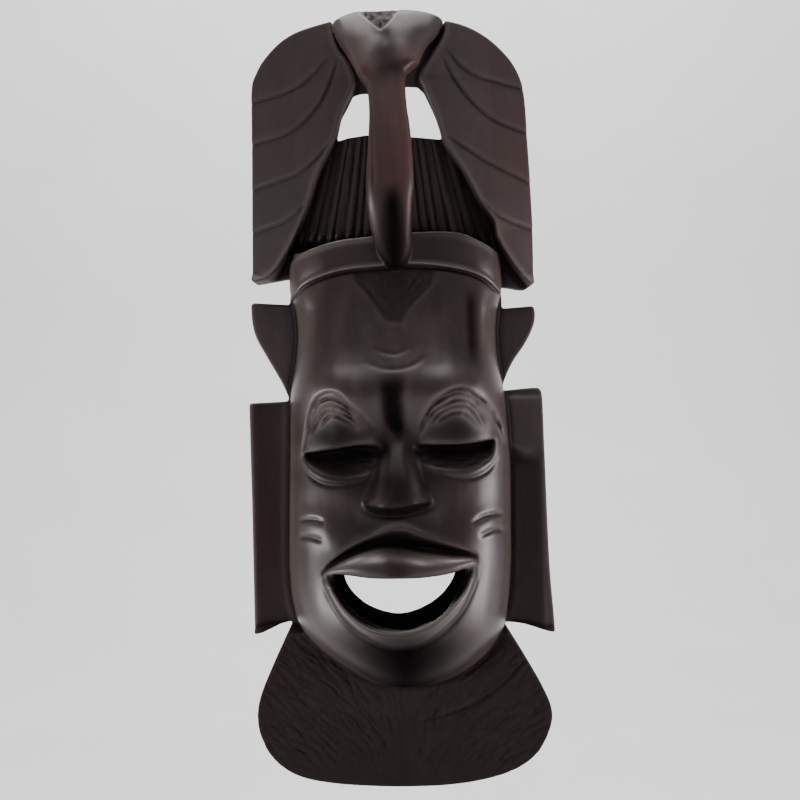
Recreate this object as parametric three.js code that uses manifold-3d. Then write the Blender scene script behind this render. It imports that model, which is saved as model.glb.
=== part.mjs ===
// A carved hardwood wall mask: one block of dark wood with a hollowed back, a bird crest whose beak
// arches free over a fluted cap, folded wings, a head band, a stylised laughing face and a spade beard.
// A strap hanger with a swinging D-ring is screwed into a pocket in the back.
// Millimetres. X is to the right as seen from the front, Y points to the wall, Z is up. The flat back
// lies in the plane Y = 0 and the carving stands out towards -Y. Heights along the mask are first
// counted from its lowest edge (v), and the origin is on the flat back at v = ORIGIN_V.
import * as THREE from "three";
import { mergeVertices } from "three/addons/utils/BufferGeometryUtils.js";
import Module from "manifold-3d";

// ---- driving dimensions ----
const ORIGIN_V = 305; // the origin's height above the lowest edge of the beard
const TOP_V = 400; // overall height
const BLOCK_HALF_W = 84; // half width of the uncut block
const BLOCK_TOP_V = 403;
const BACK_LEVEL = -4; // raised parts are carried down to here, inside the plate

const CAVITY_C = [0, 138]; // centre of the hollow behind the face: x, v
const CAVITY_R = [43, 39, 72]; // its half width, depth and half height
const CAVITY_P = 2.7; // how square it is

const POCKET_HALF_W = 20; // hanger pocket in the back
const POCKET_V = [196, 274];
const POCKET_DEPTH = 12;
const POCKET_CORNER = 12;

const WINDOW = [
  [-11, 364],
  [-18.5, 362.5],
  [-28, 337],
  [0, 339.5],
  [27, 337.5],
  [19.5, 362],
  [14.5, 366.5],
  [9, 367],
]; // open work between the wings, crossed by the beak

const MOUTH_TOP_V = 115; // mouth opening at its narrow, inner end
const MOUTH_HALF_W = 28.4;
const MOUTH_DROP = 20;
const MOUTH_FLARE = 0.0075; // growth of the opening per millimetre towards the front
const MOUTH_INNER_H = 35;
const MOUTH_SLOPE = 0.07; // the right corner is carved a little higher

const GAP = 0.3; // clearance between touching pieces
const STRAP_W = 12;
const STRIP_T = 1.0; // metal strip, folded double round the ring
const WIRE_R = 1.3;
const BARREL_BORE_R = 1.65;
const BARREL_R = BARREL_BORE_R + STRIP_T;
const PIVOT_V = 248.5;
const STRAP_END_V = 211;
const SCREW_V = [230, 217];
const SCREW_HEAD_R = 3.2;
const SCREW_HEAD_H = 2.0;
const SCREW_SHANK_R = 1.45;
const SCREW_LENGTH = 12;
const RING_HALF_W = 8;
const RING_REACH = 11.5;
const RING_LEAN_DEG = 6.3; // the ring leans on the wood when it is left alone

const FLOOR_Y = -POCKET_DEPTH;
const STRAP_Y0 = FLOOR_Y + GAP;
const STRAP_Y1 = STRAP_Y0 + 2 * STRIP_T;
const PIVOT_Y = STRAP_Y0 + BARREL_R;

const WOOD = new THREE.MeshStandardMaterial({ color: 0x2b2122, roughness: 0.38, metalness: 0 });
const BRASS = new THREE.MeshStandardMaterial({ color: 0xa88a4e, roughness: 0.35, metalness: 0.9 });
const STEEL = new THREE.MeshStandardMaterial({ color: 0x8e8c86, roughness: 0.35, metalness: 0.9 });

const wasm = await Module();
wasm.setup();

// ---- small maths ----
const clamp = (x, a = 0, b = 1) => Math.min(b, Math.max(a, x));
const mix = (a, b, t) => a + (b - a) * t;
const step = (a, b, x) => {
  const t = clamp((x - a) / (b - a));
  return t * t * (3 - 2 * t);
};
const bump = (x, s) => Math.exp(-0.5 * (x / s) ** 2);
// smooth curve through [key, value] pairs with rising keys
function curve(pairs) {
  const n = pairs.length;
  const m = pairs.map((p, i) => {
    const a = pairs[Math.max(0, i - 1)],
      b = pairs[Math.min(n - 1, i + 1)];
    return (b[1] - a[1]) / (b[0] - a[0] || 1);
  });
  return (x) => {
    if (x <= pairs[0][0]) return pairs[0][1];
    if (x >= pairs[n - 1][0]) return pairs[n - 1][1];
    let i = 0;
    while (x > pairs[i + 1][0]) i++;
    const h = pairs[i + 1][0] - pairs[i][0],
      t = (x - pairs[i][0]) / h,
      t2 = t * t,
      t3 = t2 * t;
    return (
      (2 * t3 - 3 * t2 + 1) * pairs[i][1] +
      (t3 - 2 * t2 + t) * h * m[i] +
      (-2 * t3 + 3 * t2) * pairs[i + 1][1] +
      (t3 - t2) * h * m[i + 1]
    );
  };
}

// ---- silhouette: right side from the top down, then the left side from the bottom up ----
const OUTLINE = [
  [-2, 400], [13, 399.6], [24, 398.6], [34, 398], [43.2, 395.8], [52.7, 391], [61.1, 384], [66.3, 377.2],
  [69.9, 368.5], [71.3, 358], [71.9, 343.2], [72.9, 321.8], [73.8, 295], [73.6, 266], [72, 263],
  [68, 261], [60, 262.2], [56.8, 262.6], [56.8, 251.4], [73.4, 252.8], [74.2, 248], [73, 241.5], [68.5, 232.5],
  [61.9, 222.9], [57.2, 213], [56.5, 208.2], [73, 209.8], [76, 208.8], [76.9, 203], [77.6, 160], [78.6, 117.5],
  [80.6, 84], [79.6, 81.8], [66, 84], [54.6, 85.4], [64.5, 69.1], [74.6, 50.8], [78, 40.3], [76.8, 31], [71.2, 19.3],
  [60.5, 10.3], [44.7, 4.5], [23.6, 1], [-2.6, 0], [-34, 1.4], [-54.9, 5.4], [-67.8, 14], [-74.5, 25.6], [-76.3, 37.6],
  [-74, 49.7], [-66.8, 66.5], [-57.6, 86], [-67, 83.2], [-75.6, 80.8], [-76.9, 82.5], [-77, 149.3], [-77.3, 200],
  [-76.4, 201.6], [-57.4, 202.6], [-57.4, 205], [-60.4, 212.2], [-67.6, 225], [-73.2, 235.7], [-75.2, 244.3],
  [-75.6, 253], [-74.6, 254.4], [-55.1, 253.4], [-55.1, 267], [-63, 265.6], [-73, 263.8], [-74.5, 265.5],
  [-73.3, 337.9], [-72.8, 365.7], [-70.2, 374.3], [-65.3, 382], [-56.5, 390], [-45.8, 395], [-29.1, 398], [-15, 399.2],
];

// ---- the carved front, as heights above the back plane ----
// head
const headHalfW = curve([[50, 6], [56, 22], [62, 31], [68, 38], [76, 46], [85, 52.5], [95, 56.5], [110, 59], [150, 60], [180, 58.5], [205, 57.5], [280, 57]]);
const headCentreH = curve([[50, 22], [56, 33], [62, 41], [70, 48], [82, 53], [95, 55], [112, 54], [130, 50], [150, 48], [172, 46], [190, 47], [207, 50], [216, 49], [232, 44], [250, 39], [275, 35]]);
const headSquare = curve([[50, 2.2], [100, 2.4], [150, 2.6], [200, 3.6], [230, 5], [280, 5]]);
function headH(x, v) {
  const t = clamp(Math.abs(x) / headHalfW(v));
  let h = mix(9, headCentreH(v), Math.sqrt(1 - t ** headSquare(v)));
  h += 6.5 * (bump(Math.abs(x) - 29, 14) * bump(v - 199, 9)) * step(1, 0.8, t); // brows
  h += 5 * bump(x, 30) * bump(v - 104, 24) * step(1, 0.7, t); // muzzle
  h -= 3 * bump(x, 24) * bump(v - 139, 5);
  return h;
}
// band, its edges as heights along the mask
const bandTop = (x) => 284 - 9 * (x / 55) ** 2;
const bandLow = (x) => 270.5 - 12.5 * (x / 55) ** 2;
const bandH = (x) => headH(x, 262) + 2.2;
// wings
const wingInnerX = curve([[256, 57], [265, 54], [284, 47], [310, 37], [337, 28.5], [350, 23.5], [363, 17.5], [374, 19], [388, 25], [403, 30]]);
const wingH = (x, v) => {
  const inner = wingInnerX(v);
  return mix(26, 11, clamp((Math.abs(x) - inner) / (73 - inner)) ** 0.85);
};
// plate: cap floor, ears, side flaps hollowed like a gutter, beard
function plateH(x, v) {
  const ax = Math.abs(x);
  const cap = mix(22 - 6 * clamp(ax / wingInnerX(v)) ** 2, 18, step(348, 362, v));
  const flap = 7.5 + 9 * clamp((ax - 57) / 20) ** 2;
  const beard = mix(mix(14, 18, step(8, 60, v)), 23, step(40, 66, v) * bump(x, 42));
  const ear = 10.5;
  return mix(mix(mix(beard, flap, step(80, 86, v)), ear, step(203, 208, v)), cap, step(256, 264, v));
}

// feather lines on each wing: x, v
const FEATHERS = [
  [[-29.5, 373], [-37, 364], [-45.5, 358], [-60, 352]],
  [[-26, 371], [-28.5, 362], [-36, 349], [-47.5, 338.5], [-58.5, 332.5], [-69, 330]],
  [[-31, 327], [-41.5, 318], [-52, 312], [-67, 307]],
  [[-42.5, 298], [-53, 292], [-68, 286.5]],
  [[30, 375], [37, 368.5], [45, 365], [56.5, 362.5], [66, 361]],
  [[27, 372.5], [32.5, 361], [41.5, 350], [53, 342], [67, 337]],
  [[28.5, 332.5], [39, 326.5], [50, 319.5], [59.5, 314], [70, 312]],
  [[43.5, 302.5], [51, 294.5], [59, 291], [71, 289.5]],
];
const BROWS = [
  [[-46, 182], [-44.5, 193], [-42, 201.5], [-36.5, 206.9], [-29.3, 205.9], [-22, 201], [-10.5, 193]],
  [[9.5, 181], [15, 194], [22.6, 205], [30, 208.5], [37.7, 206.2], [44.8, 198], [50.5, 188]],
];
const SCARS = [[-47, -36, 144.5], [-47, -36, 137.5], [36, 50, 146.5], [39, 50, 139.5]]; // x from, x to, v

// ---- solids ----
// a closed geometry as a solid in the carving frame: x, y towards the wall, v up
function solid(g) {
  g = g.index ? g.toNonIndexed() : g.clone();
  g.deleteAttribute("normal");
  g.deleteAttribute("uv");
  const m = mergeVertices(g, 1e-4);
  const s = new wasm.Manifold(
    new wasm.Mesh({ numProp: 3, vertProperties: new Float32Array(m.attributes.position.array), triVerts: new Uint32Array(m.index.array) }),
  );
  return s;
}
function toGeometry(s) {
  const m = s.getMesh(),
    n = m.numProp,
    v = new Float32Array(m.numVert * 3);
  for (let i = 0; i < m.numVert; i++) v.set(m.vertProperties.subarray(i * n, i * n + 3), i * 3);
  const g = new THREE.BufferGeometry().setAttribute("position", new THREE.BufferAttribute(v, 3)).setIndex(new THREE.BufferAttribute(new Uint32Array(m.triVerts), 1));
  return g.toNonIndexed();
}
function withoutSlivers(g) {
  // drops the triangles that gathering points has closed up
  const i = g.index.array,
    kept = [];
  for (let k = 0; k < i.length; k += 3) if (i[k] !== i[k + 1] && i[k + 1] !== i[k + 2] && i[k] !== i[k + 2]) kept.push(i[k], i[k + 1], i[k + 2]);
  return g.setIndex(kept);
}
function flip(g) {
  // turns every face round, after a mapping that mirrored them
  const i = g.index.array;
  for (let k = 0; k < i.length; k += 3) [i[k + 1], i[k + 2]] = [i[k + 2], i[k + 1]];
  return g;
}
const facingOut = (g) => {
  const s = solid(g);
  return s.volume() < 0 ? solid(flip(g)) : s;
};
// an outline in the x-v plane carried along Y from y0 to y1; warp may move each point with its y
function slab(points, y0, y1, warp, steps = 1) {
  const shape = new THREE.Shape(points.map(([a, b]) => new THREE.Vector2(a, b)));
  const g = mergeVertices(
    (() => {
      const e = new THREE.ExtrudeGeometry(shape, { depth: y1 - y0, steps, bevelEnabled: false });
      e.deleteAttribute("normal");
      e.deleteAttribute("uv");
      return e;
    })(),
    1e-4,
  );
  const p = g.attributes.position;
  for (let i = 0; i < p.count; i++) {
    let [a, b, c] = [p.getX(i), p.getY(i), y0 + p.getZ(i)];
    if (warp) [a, b] = warp(a, b, c);
    p.setXYZ(i, a, c, b);
  }
  return facingOut(g);
}

// a block whose front is displaced: place gives the point for a (across, -1 to 1) and c (up, 0 to 1)
function relief(nx, nv, place, back = BACK_LEVEL) {
  const g = new THREE.BoxGeometry(2, 1, 1, nx, 1, nv);
  g.deleteAttribute("normal");
  g.deleteAttribute("uv");
  const m = mergeVertices(g, 1e-4),
    p = m.attributes.position;
  for (let i = 0; i < p.count; i++) {
    const a = p.getX(i),
      c = p.getZ(i) + 0.5,
      [x, v, h] = place(a, c);
    // the back is flat, so every point inside its border is gathered into one
    if (p.getY(i) > 0 && Math.abs(a) < 0.999 && c > 0.001 && c < 0.999) {
      const [mx, mv] = place(0, 0.5);
      p.setXYZ(i, mx, back, mv);
    } else p.setXYZ(i, x, p.getY(i) < 0 ? -h : back, v);
  }
  return facingOut(withoutSlivers(mergeVertices(m, 1e-4)));
}
const plateV = curve([[0, -3], [0.3, 78], [0.36, 90], [0.6, 202], [0.64, 210], [0.74, 254], [0.8, 268], [1, BLOCK_TOP_V]]);
const plate = () => relief(14, 28, (a, c) => {
  const x = a * BLOCK_HALF_W,
    v = plateV(c);
  return [x, v, plateH(x, v)];
}, 0);
const head = () => relief(22, 42, (a, c) => {
  const v = mix(51, 277, c),
    x = Math.sin((a * Math.PI) / 2) * headHalfW(v);
  return [x, v, headH(x, v)];
});
const wing = (side) => relief(5, 12, (a, c) => {
  const v = mix(258, BLOCK_TOP_V, c),
    x = mix(wingInnerX(v), BLOCK_HALF_W, (a + 1) / 2) * side;
  return [x, v, wingH(x, v)];
});
const band = () => relief(16, 4, (a, c) => {
  const x = a * 56.5,
    e = Math.abs(c - 0.5) > 0.4 ? 0.8 : 0; // the rims stand a little proud
  return [x, mix(bandLow(x), bandTop(x), c), bandH(x) + e];
});
const nose = () => relief(6, 8, (a, c) => {
  const v = mix(149.5, 190, c),
    t = clamp((181 - v) / 31); // 0 at the root, 1 at the tip
  const half = mix(5.5, 12.5, t),
    flank = mix(5.5, 5, t),
    ridge = mix(49, 66, t ** 0.9) - 5 * step(181, 190, v);
  const x = clamp(Math.abs(a) / 0.667) * half + clamp((Math.abs(a) - 0.667) / 0.333) * flank;
  return [x * Math.sign(a), v, ridge - (Math.abs(a) > 0.9 ? 18 : 0.03 * x * x)];
});

// a bar of rounded section: stations are [x, height, v, half width, half thickness]; the width runs
// along the given direction, the thickness across it and the line
function bar(stations, sides, lengths, widthDir, square = 2) {
  const n = stations.length - 1;
  const path = new THREE.CatmullRomCurve3(stations.map((q) => new THREE.Vector3(q[0], -q[1], q[2])));
  const wide = curve(stations.map((q, i) => [i / n, q[3]]));
  const thick = curve(stations.map((q, i) => [i / n, q[4]]));
  const m = mergeBare(new THREE.CylinderGeometry(1, 1, 1, sides, lengths, false)),
    p = m.attributes.position;
  for (let i = 0; i < p.count; i++) {
    const t = clamp(0.5 - p.getY(i)),
      c = path.getPoint(t),
      d = path.getTangent(t);
    const w = widthDir.clone().addScaledVector(d, -widthDir.dot(d)).normalize(),
      o = new THREE.Vector3().crossVectors(d, w);
    const a = Math.atan2(p.getZ(i), p.getX(i)),
      r = Math.hypot(p.getX(i), p.getZ(i));
    const k = r / (Math.abs(Math.cos(a)) ** square + Math.abs(Math.sin(a)) ** square) ** (1 / square);
    c.addScaledVector(w, k * Math.cos(a) * wide(t)).addScaledVector(o, k * Math.sin(a) * thick(t));
    p.setXYZ(i, c.x, c.y, c.z);
  }
  return facingOut(m);
}
const UP = new THREE.Vector3(0, 0, 1),
  ACROSS = new THREE.Vector3(1, 0, 0),
  OUT = new THREE.Vector3(0, -1, 0);
// a gouge along a line of [x, v] points lying on a surface; its section is depth deep and 2 * half wide
const gouge = (line, surface, half, depth, lengths = 5) =>
  bar(line.map(([x, v]) => [x, surface(x, v) + 0.15 * depth, v, depth * 1.15, half]), 4, lengths, OUT);

function lips() {
  const upper = [],
    lower = [];
  for (let i = 0; i <= 10; i++) {
    const x = mix(-38, 38, i / 10),
      q = Math.abs(x) / 38;
    const v = mix(123.5, 118.5, q ** 1.8) + MOUTH_SLOPE * x;
    upper.push([x, headH(x, v) - 1, v, mix(8.5, 2.2, q ** 2), mix(6.5, 2.5, q ** 2)]);
    const a = (Math.PI * i) / 10,
      lx = -38.5 * Math.cos(a),
      lv = 118 - 30.5 * Math.sin(a) + MOUTH_SLOPE * lx;
    lower.push([lx, headH(lx, lv) - 1, lv, mix(2.4, 5.2, Math.sin(a)), mix(3, 6, Math.sin(a))]);
  }
  return bar(upper, 8, 16, UP).add(bar(lower, 8, 18, new THREE.Vector3(0, 0.2, 1)));
}
function eyes() {
  const cuts = [];
  for (const side of [-1, 1]) {
    const line = [];
    for (let i = 0; i <= 6; i++) {
      const ax = mix(11, 52, i / 6),
        q = Math.abs(i - 3) / 3,
        x = ax * side,
        v = mix(172.5, 177, q ** 2);
      line.push([x, headH(x, v) + 1.5, v, mix(6, 1.6, q ** 1.7), mix(9.5, 4, q ** 2)]);
    }
    cuts.push(bar(line, 8, 10, UP, 2.6));
  }
  return cuts;
}
function lids() {
  const out = [];
  for (const side of [-1, 1]) {
    const line = [];
    for (let i = 0; i <= 6; i++) {
      const ax = mix(13, 50, i / 6),
        q = Math.abs(i - 3) / 3,
        x = ax * side,
        v = mix(164, 170, q ** 2);
      line.push([x, headH(x, v) - 1.2, v, mix(4, 1.5, q ** 2), mix(4, 1.5, q ** 2)]);
    }
    out.push(bar(line, 8, 8, UP));
  }
  return out;
}
// the cap's convex flutes, fanning out downwards
function flutes() {
  const out = [];
  for (let k = -5; k <= 5; k++) {
    const line = [];
    for (const [v, w] of [[347, 21], [328, 28], [306, 34.5], [281, 43]]) {
      const x = (k / 5.6) * w;
      line.push([x, plateH(x, v) - 0.8, v, w / 10.6, 2.6]);
    }
    out.push(bar(line, 6, 2, ACROSS));
  }
  return out;
}

// the hollow behind the face
function cavity() {
  const g = new THREE.SphereGeometry(1, 24, 16);
  g.deleteAttribute("normal");
  g.deleteAttribute("uv");
  const m = mergeVertices(g, 1e-4),
    p = m.attributes.position;
  for (let i = 0; i < p.count; i++) {
    const d = [p.getX(i), p.getY(i), p.getZ(i)];
    const r = 1 / d.reduce((s, c) => s + Math.abs(c) ** CAVITY_P, 0) ** (1 / CAVITY_P);
    // the sphere's own axis is turned to run along the depth
    p.setXYZ(i, d[0] * r * CAVITY_R[0] + CAVITY_C[0], d[1] * r * CAVITY_R[1], d[2] * r * CAVITY_R[2] + CAVITY_C[1]);
  }
  return facingOut(m);
}

function roundedRect(hw, v0, v1, r, n = 5) {
  const out = [];
  for (const [cx, cv, a0] of [[hw - r, v1 - r, 0], [-hw + r, v1 - r, 90], [-hw + r, v0 + r, 180], [hw - r, v0 + r, 270]])
    for (let i = 0; i <= n; i++) {
      const a = ((a0 + (90 * i) / n) * Math.PI) / 180;
      out.push([cx + r * Math.cos(a), cv + r * Math.sin(a)]);
    }
  return out;
}

function mouthCut() {
  const pts = [];
  const n = 18;
  for (let i = 0; i <= n; i++) {
    const a = Math.PI + (Math.PI * i) / n;
    pts.push([MOUTH_HALF_W * Math.cos(a), MOUTH_TOP_V + MOUTH_DROP * Math.sin(a)]);
  }
  pts.push([14, MOUTH_TOP_V + 0.9], [0, MOUTH_TOP_V - 0.2], [-14, MOUTH_TOP_V + 0.9]);
  // wider towards the front, with the upper edge level
  return slab(pts, -90, 5, (a, b, y) => {
    const k = 1 + MOUTH_FLARE * Math.max(0, -y - MOUTH_INNER_H);
    return [a * k, MOUTH_TOP_V + (b - MOUTH_TOP_V) * k + MOUTH_SLOPE * a];
  }, 6);
}

// the crest and beak: one bar on a curved line from the crown to the band
const BEAK_LINE = [
  // v, height of its middle, half width, half thickness
  [399.2, 27.5, 28.2, 9.2], [390, 34.5, 25.6, 9.2], [379, 41.2, 19.6, 8.6], [369, 46, 15.3, 8], [361, 48.8, 10.6, 7.6], [350, 50.5, 9.6, 7.2],
  [335, 52.5, 10.3, 7.2], [320, 53.5, 11.3, 7.2], [306, 53, 11.4, 7.4], [295, 50.6, 10.9, 7.9], [286, 46.6, 10, 8.4], [277, 41.8, 8.8, 8.4], [271, 37, 6.2, 7.2],
];
const beak = () => bar(BEAK_LINE.map(([v, h, w, t]) => [0, h, v, w, t]), 14, 22, ACROSS, 2.5);

function cylinderY(r, y0, y1, x, v, sides = 16) {
  const g = new THREE.CylinderGeometry(r, r, y1 - y0, sides, 1, false);
  g.translate(x, (y0 + y1) / 2, v);
  return solid(g);
}

// ---- mask body ----
let body = plate();
for (const f of flutes()) body = body.add(f);
body = body.add(wing(-1)).add(wing(1)).subtract(slab(WINDOW, -95, 5));
for (const line of FEATHERS) body = body.subtract(gouge(line, wingH, 1.1, 1.4));
body = body.add(head()).add(band());
for (const cut of eyes()) body = body.subtract(cut);
for (const lid of lids()) body = body.add(lid);
body = body.subtract(bar([[0, 50, 209, 5.5, 6], [0, 49, 203, 5.2, 6], [0, 48, 193, 3, 5], [0, 48, 182, 0.6, 2]], 8, 6, ACROSS)); // furrow
for (const line of BROWS) {
  body = body.subtract(gouge(line, headH, 1.4, 1.8, 7));
  body = body.subtract(gouge(line.map(([x, v]) => [x * 1.01, v - 4]), headH, 1.2, 1.5, 7));
}
for (const [x0, x1, v] of SCARS) body = body.subtract(gouge([[x0, v], [(x0 + x1) / 2, v + 0.3], [x1, v]], headH, 1.3, 1.6, 3));
body = body.add(nose()).add(lips());
body = body.add(beak()).intersect(slab(OUTLINE, -95, 5));
body = body.subtract(cavity());
body = body.subtract(slab(roundedRect(POCKET_HALF_W, POCKET_V[0], POCKET_V[1], POCKET_CORNER), FLOOR_Y, 5));
body = body.subtract(mouthCut());
for (const v of SCREW_V) body = body.subtract(cylinderY(SCREW_SHANK_R + GAP, STRAP_Y0 - SCREW_LENGTH - 0.7, FLOOR_Y + 1, 0, v, 12));
// a carved block is one piece: crumbs cut off by the tools are dropped
body = body.decompose().sort((a, b) => b.volume() - a.volume())[0];

// ---- strap: a strip folded double round the straight side of the ring ----
function strap() {
  const s = new THREE.Shape();
  s.moveTo(STRAP_END_V, STRAP_Y0);
  s.lineTo(PIVOT_V, STRAP_Y0);
  const n = 14;
  for (let i = 1; i <= n; i++) {
    const a = -Math.PI / 2 + ((Math.PI * 1.12) * i) / n;
    s.lineTo(PIVOT_V + BARREL_R * Math.cos(a), PIVOT_Y + BARREL_R * Math.sin(a));
  }
  s.lineTo(PIVOT_V - 5.2, STRAP_Y1 + 0.35);
  s.lineTo(PIVOT_V - 7, STRAP_Y1);
  s.lineTo(STRAP_END_V, STRAP_Y1);
  const bore = new THREE.Path();
  bore.absarc(PIVOT_V, PIVOT_Y, BARREL_BORE_R, 0, 2 * Math.PI, true);
  s.holes.push(bore);
  const g = new THREE.ExtrudeGeometry(s, { depth: STRAP_W, bevelEnabled: false, curveSegments: 8 });
  g.deleteAttribute("normal");
  g.deleteAttribute("uv");
  const m = mergeVertices(g, 1e-4),
    p = m.attributes.position;
  for (let i = 0; i < p.count; i++) p.setXYZ(i, p.getZ(i) - STRAP_W / 2, p.getY(i), p.getX(i));
  let out = facingOut(m);
  // rounded free end
  const tab = roundedRect(STRAP_W / 2 + 0.01, STRAP_END_V - 0.01, PIVOT_V + 30, 5, 6);
  out = out.intersect(slab(tab, STRAP_Y0 - 2, STRAP_Y1 + 12));
  for (const v of SCREW_V) out = out.subtract(cylinderY(SCREW_SHANK_R + 0.45, STRAP_Y0 - 2, STRAP_Y1 + 2, 0, v, 16));
  return out;
}

// ---- D-ring: a closed wire loop, its straight side in the strap's barrel ----
function ringCentre(u) {
  // u from 0 to 1 round the loop, starting in the middle of the straight side
  const w = RING_HALF_W,
    r = 2.2, // corner radius of the wire's line
    top = RING_REACH;
  const pts = [];
  const add = (x, z) => pts.push(new THREE.Vector2(x, z));
  add(0, 0);
  add(w * 0.5, 0);
  for (let i = 0; i <= 4; i++) {
    const a = -Math.PI / 2 + (Math.PI / 2) * (i / 4);
    add(w - r + r * Math.cos(a), r + r * Math.sin(a));
  }
  for (let i = 1; i < 12; i++) {
    const a = (Math.PI * i) / 12;
    add(w * Math.cos(a), 4 + (top - 4) * Math.sin(a));
  }
  for (let i = 0; i <= 4; i++) {
    const a = Math.PI + (Math.PI / 2) * (i / 4);
    add(-w + r + r * Math.cos(a), r + r * Math.sin(a));
  }
  add(-w * 0.5, 0);
  const lengths = [0];
  for (let i = 0; i < pts.length; i++) lengths.push(lengths[i] + pts[i].distanceTo(pts[(i + 1) % pts.length]));
  const s = u * lengths[pts.length];
  let i = 0;
  while (i < pts.length - 1 && s > lengths[i + 1]) i++;
  const t = (s - lengths[i]) / (lengths[i + 1] - lengths[i]);
  return pts[i].clone().lerp(pts[(i + 1) % pts.length], t);
}
function ring() {
  const g = new THREE.TorusGeometry(1, 0.25, 8, 40);
  g.deleteAttribute("normal");
  g.deleteAttribute("uv");
  const m = mergeVertices(g, 1e-4),
    p = m.attributes.position;
  for (let i = 0; i < p.count; i++) {
    const x = p.getX(i),
      y = p.getY(i),
      z = p.getZ(i);
    const u = (((Math.atan2(y, x) / (2 * Math.PI)) % 1) + 1) % 1;
    const a = Math.atan2(z, Math.hypot(x, y) - 1);
    const c = ringCentre(u),
      d = ringCentre((u + 0.004) % 1).sub(ringCentre((u + 0.996) % 1)).normalize();
    const o = WIRE_R * Math.cos(a);
    p.setXYZ(i, c.x + d.y * o, WIRE_R * Math.sin(a), c.y - d.x * o);
  }
  return facingOut(m);
}

// ---- pan-head wood screw, its axis along Y, the seat of its head at y = 0 and its point towards -Y ----
function screw() {
  const r = SCREW_HEAD_R,
    h = SCREW_HEAD_H,
    k = SCREW_SHANK_R;
  const profile = [
    [0, -SCREW_LENGTH], [k * 0.55, -SCREW_LENGTH + 1.6], [k, -SCREW_LENGTH + 3.6], [k, 0], [r, 0], [r, h * 0.45],
    [r * 0.86, h * 0.82], [r * 0.6, h], [0, h],
  ].map(([a, b]) => new THREE.Vector2(a, b));
  let out = facingOut(mergeBare(new THREE.LatheGeometry(profile, 18)));
  for (const turn of [0, Math.PI / 2]) {
    const b = new THREE.BoxGeometry(3.6, 1.1, 0.75);
    b.rotateY(turn + 0.4);
    b.translate(0, h - 0.3, 0);
    out = out.subtract(solid(b));
  }
  return out;
}
function mergeBare(g) {
  g.deleteAttribute("normal");
  g.deleteAttribute("uv");
  return mergeVertices(g, 1e-4);
}

// ---- assembly ----
const mask = new THREE.Group();
mask.position.z = -ORIGIN_V;
function part(name, geometry, material, parent = mask) {
  geometry.computeVertexNormals();
  const mesh = new THREE.Mesh(geometry, material);
  mesh.name = name;
  parent.add(mesh);
  return mesh;
}
part("mask_body", toGeometry(body), WOOD);
part("hanger_strap", toGeometry(strap()), BRASS);
const ringMesh = part("hanger_ring", toGeometry(ring()), BRASS);
ringMesh.position.set(0, PIVOT_Y, PIVOT_V);
ringMesh.rotation.x = (RING_LEAN_DEG * Math.PI) / 180;
SCREW_V.forEach((v, i) => {
  const s = part(["hanger_screw_upper", "hanger_screw_lower"][i], toGeometry(screw()), STEEL);
  s.position.set(0, STRAP_Y1 + GAP, v);
});

const assembly = new THREE.Group();
assembly.add(mask);
export default assembly;
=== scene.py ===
import math

import bpy
import numpy as np
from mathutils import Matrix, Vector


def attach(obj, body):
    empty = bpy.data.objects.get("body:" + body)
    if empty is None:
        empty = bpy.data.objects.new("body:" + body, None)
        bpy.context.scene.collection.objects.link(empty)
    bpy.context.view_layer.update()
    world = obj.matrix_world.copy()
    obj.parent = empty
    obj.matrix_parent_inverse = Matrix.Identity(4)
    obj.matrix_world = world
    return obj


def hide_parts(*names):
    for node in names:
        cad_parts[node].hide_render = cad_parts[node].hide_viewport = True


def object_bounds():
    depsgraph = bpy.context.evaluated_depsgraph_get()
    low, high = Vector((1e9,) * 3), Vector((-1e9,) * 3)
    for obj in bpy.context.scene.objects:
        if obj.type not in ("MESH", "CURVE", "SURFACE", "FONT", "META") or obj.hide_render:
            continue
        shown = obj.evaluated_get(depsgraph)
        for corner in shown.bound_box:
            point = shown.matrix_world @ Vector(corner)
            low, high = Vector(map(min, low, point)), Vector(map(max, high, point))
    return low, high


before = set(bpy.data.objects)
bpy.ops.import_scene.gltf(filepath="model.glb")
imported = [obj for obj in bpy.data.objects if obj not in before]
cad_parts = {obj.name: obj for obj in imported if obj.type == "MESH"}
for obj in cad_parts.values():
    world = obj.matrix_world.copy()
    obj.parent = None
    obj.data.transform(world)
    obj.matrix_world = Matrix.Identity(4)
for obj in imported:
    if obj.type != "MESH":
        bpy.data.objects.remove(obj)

import openvdb
from mathutils import Matrix, Vector

cad_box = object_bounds()
ORIGIN_V = 305.0
LEAN = 0.0215  # the carving isn't square: level cuts rise this much to the left
rng = np.random.default_rng(41)

# ------------------------------------------------------------------ camera
cam_data = bpy.data.cameras.new("camera")
cam_data.lens = 52.15
cam_data.sensor_width = 36
cam_data.clip_start = 0.01
cam = bpy.data.objects.new("camera", cam_data)
bpy.context.scene.collection.objects.link(cam)
cam.matrix_world = (
    Matrix.Translation((0.0019, -0.620, -0.102))
    @ Matrix.Rotation(math.radians(90), 4, "X")
    @ Matrix.Rotation(math.radians(-1.27), 4, "Z")
)
bpy.context.scene.camera = cam

# ------------------------------------------------------------------ small maths
def clamp(x, a=0.0, b=1.0):
    return np.minimum(b, np.maximum(a, x))


def mix(a, b, t):
    return a + (b - a) * t


def step(a, b, x):
    t = clamp((x - a) / (b - a))
    return t * t * (3 - 2 * t)


def bump(x, s):
    return np.exp(-0.5 * (x / s) ** 2)


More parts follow.
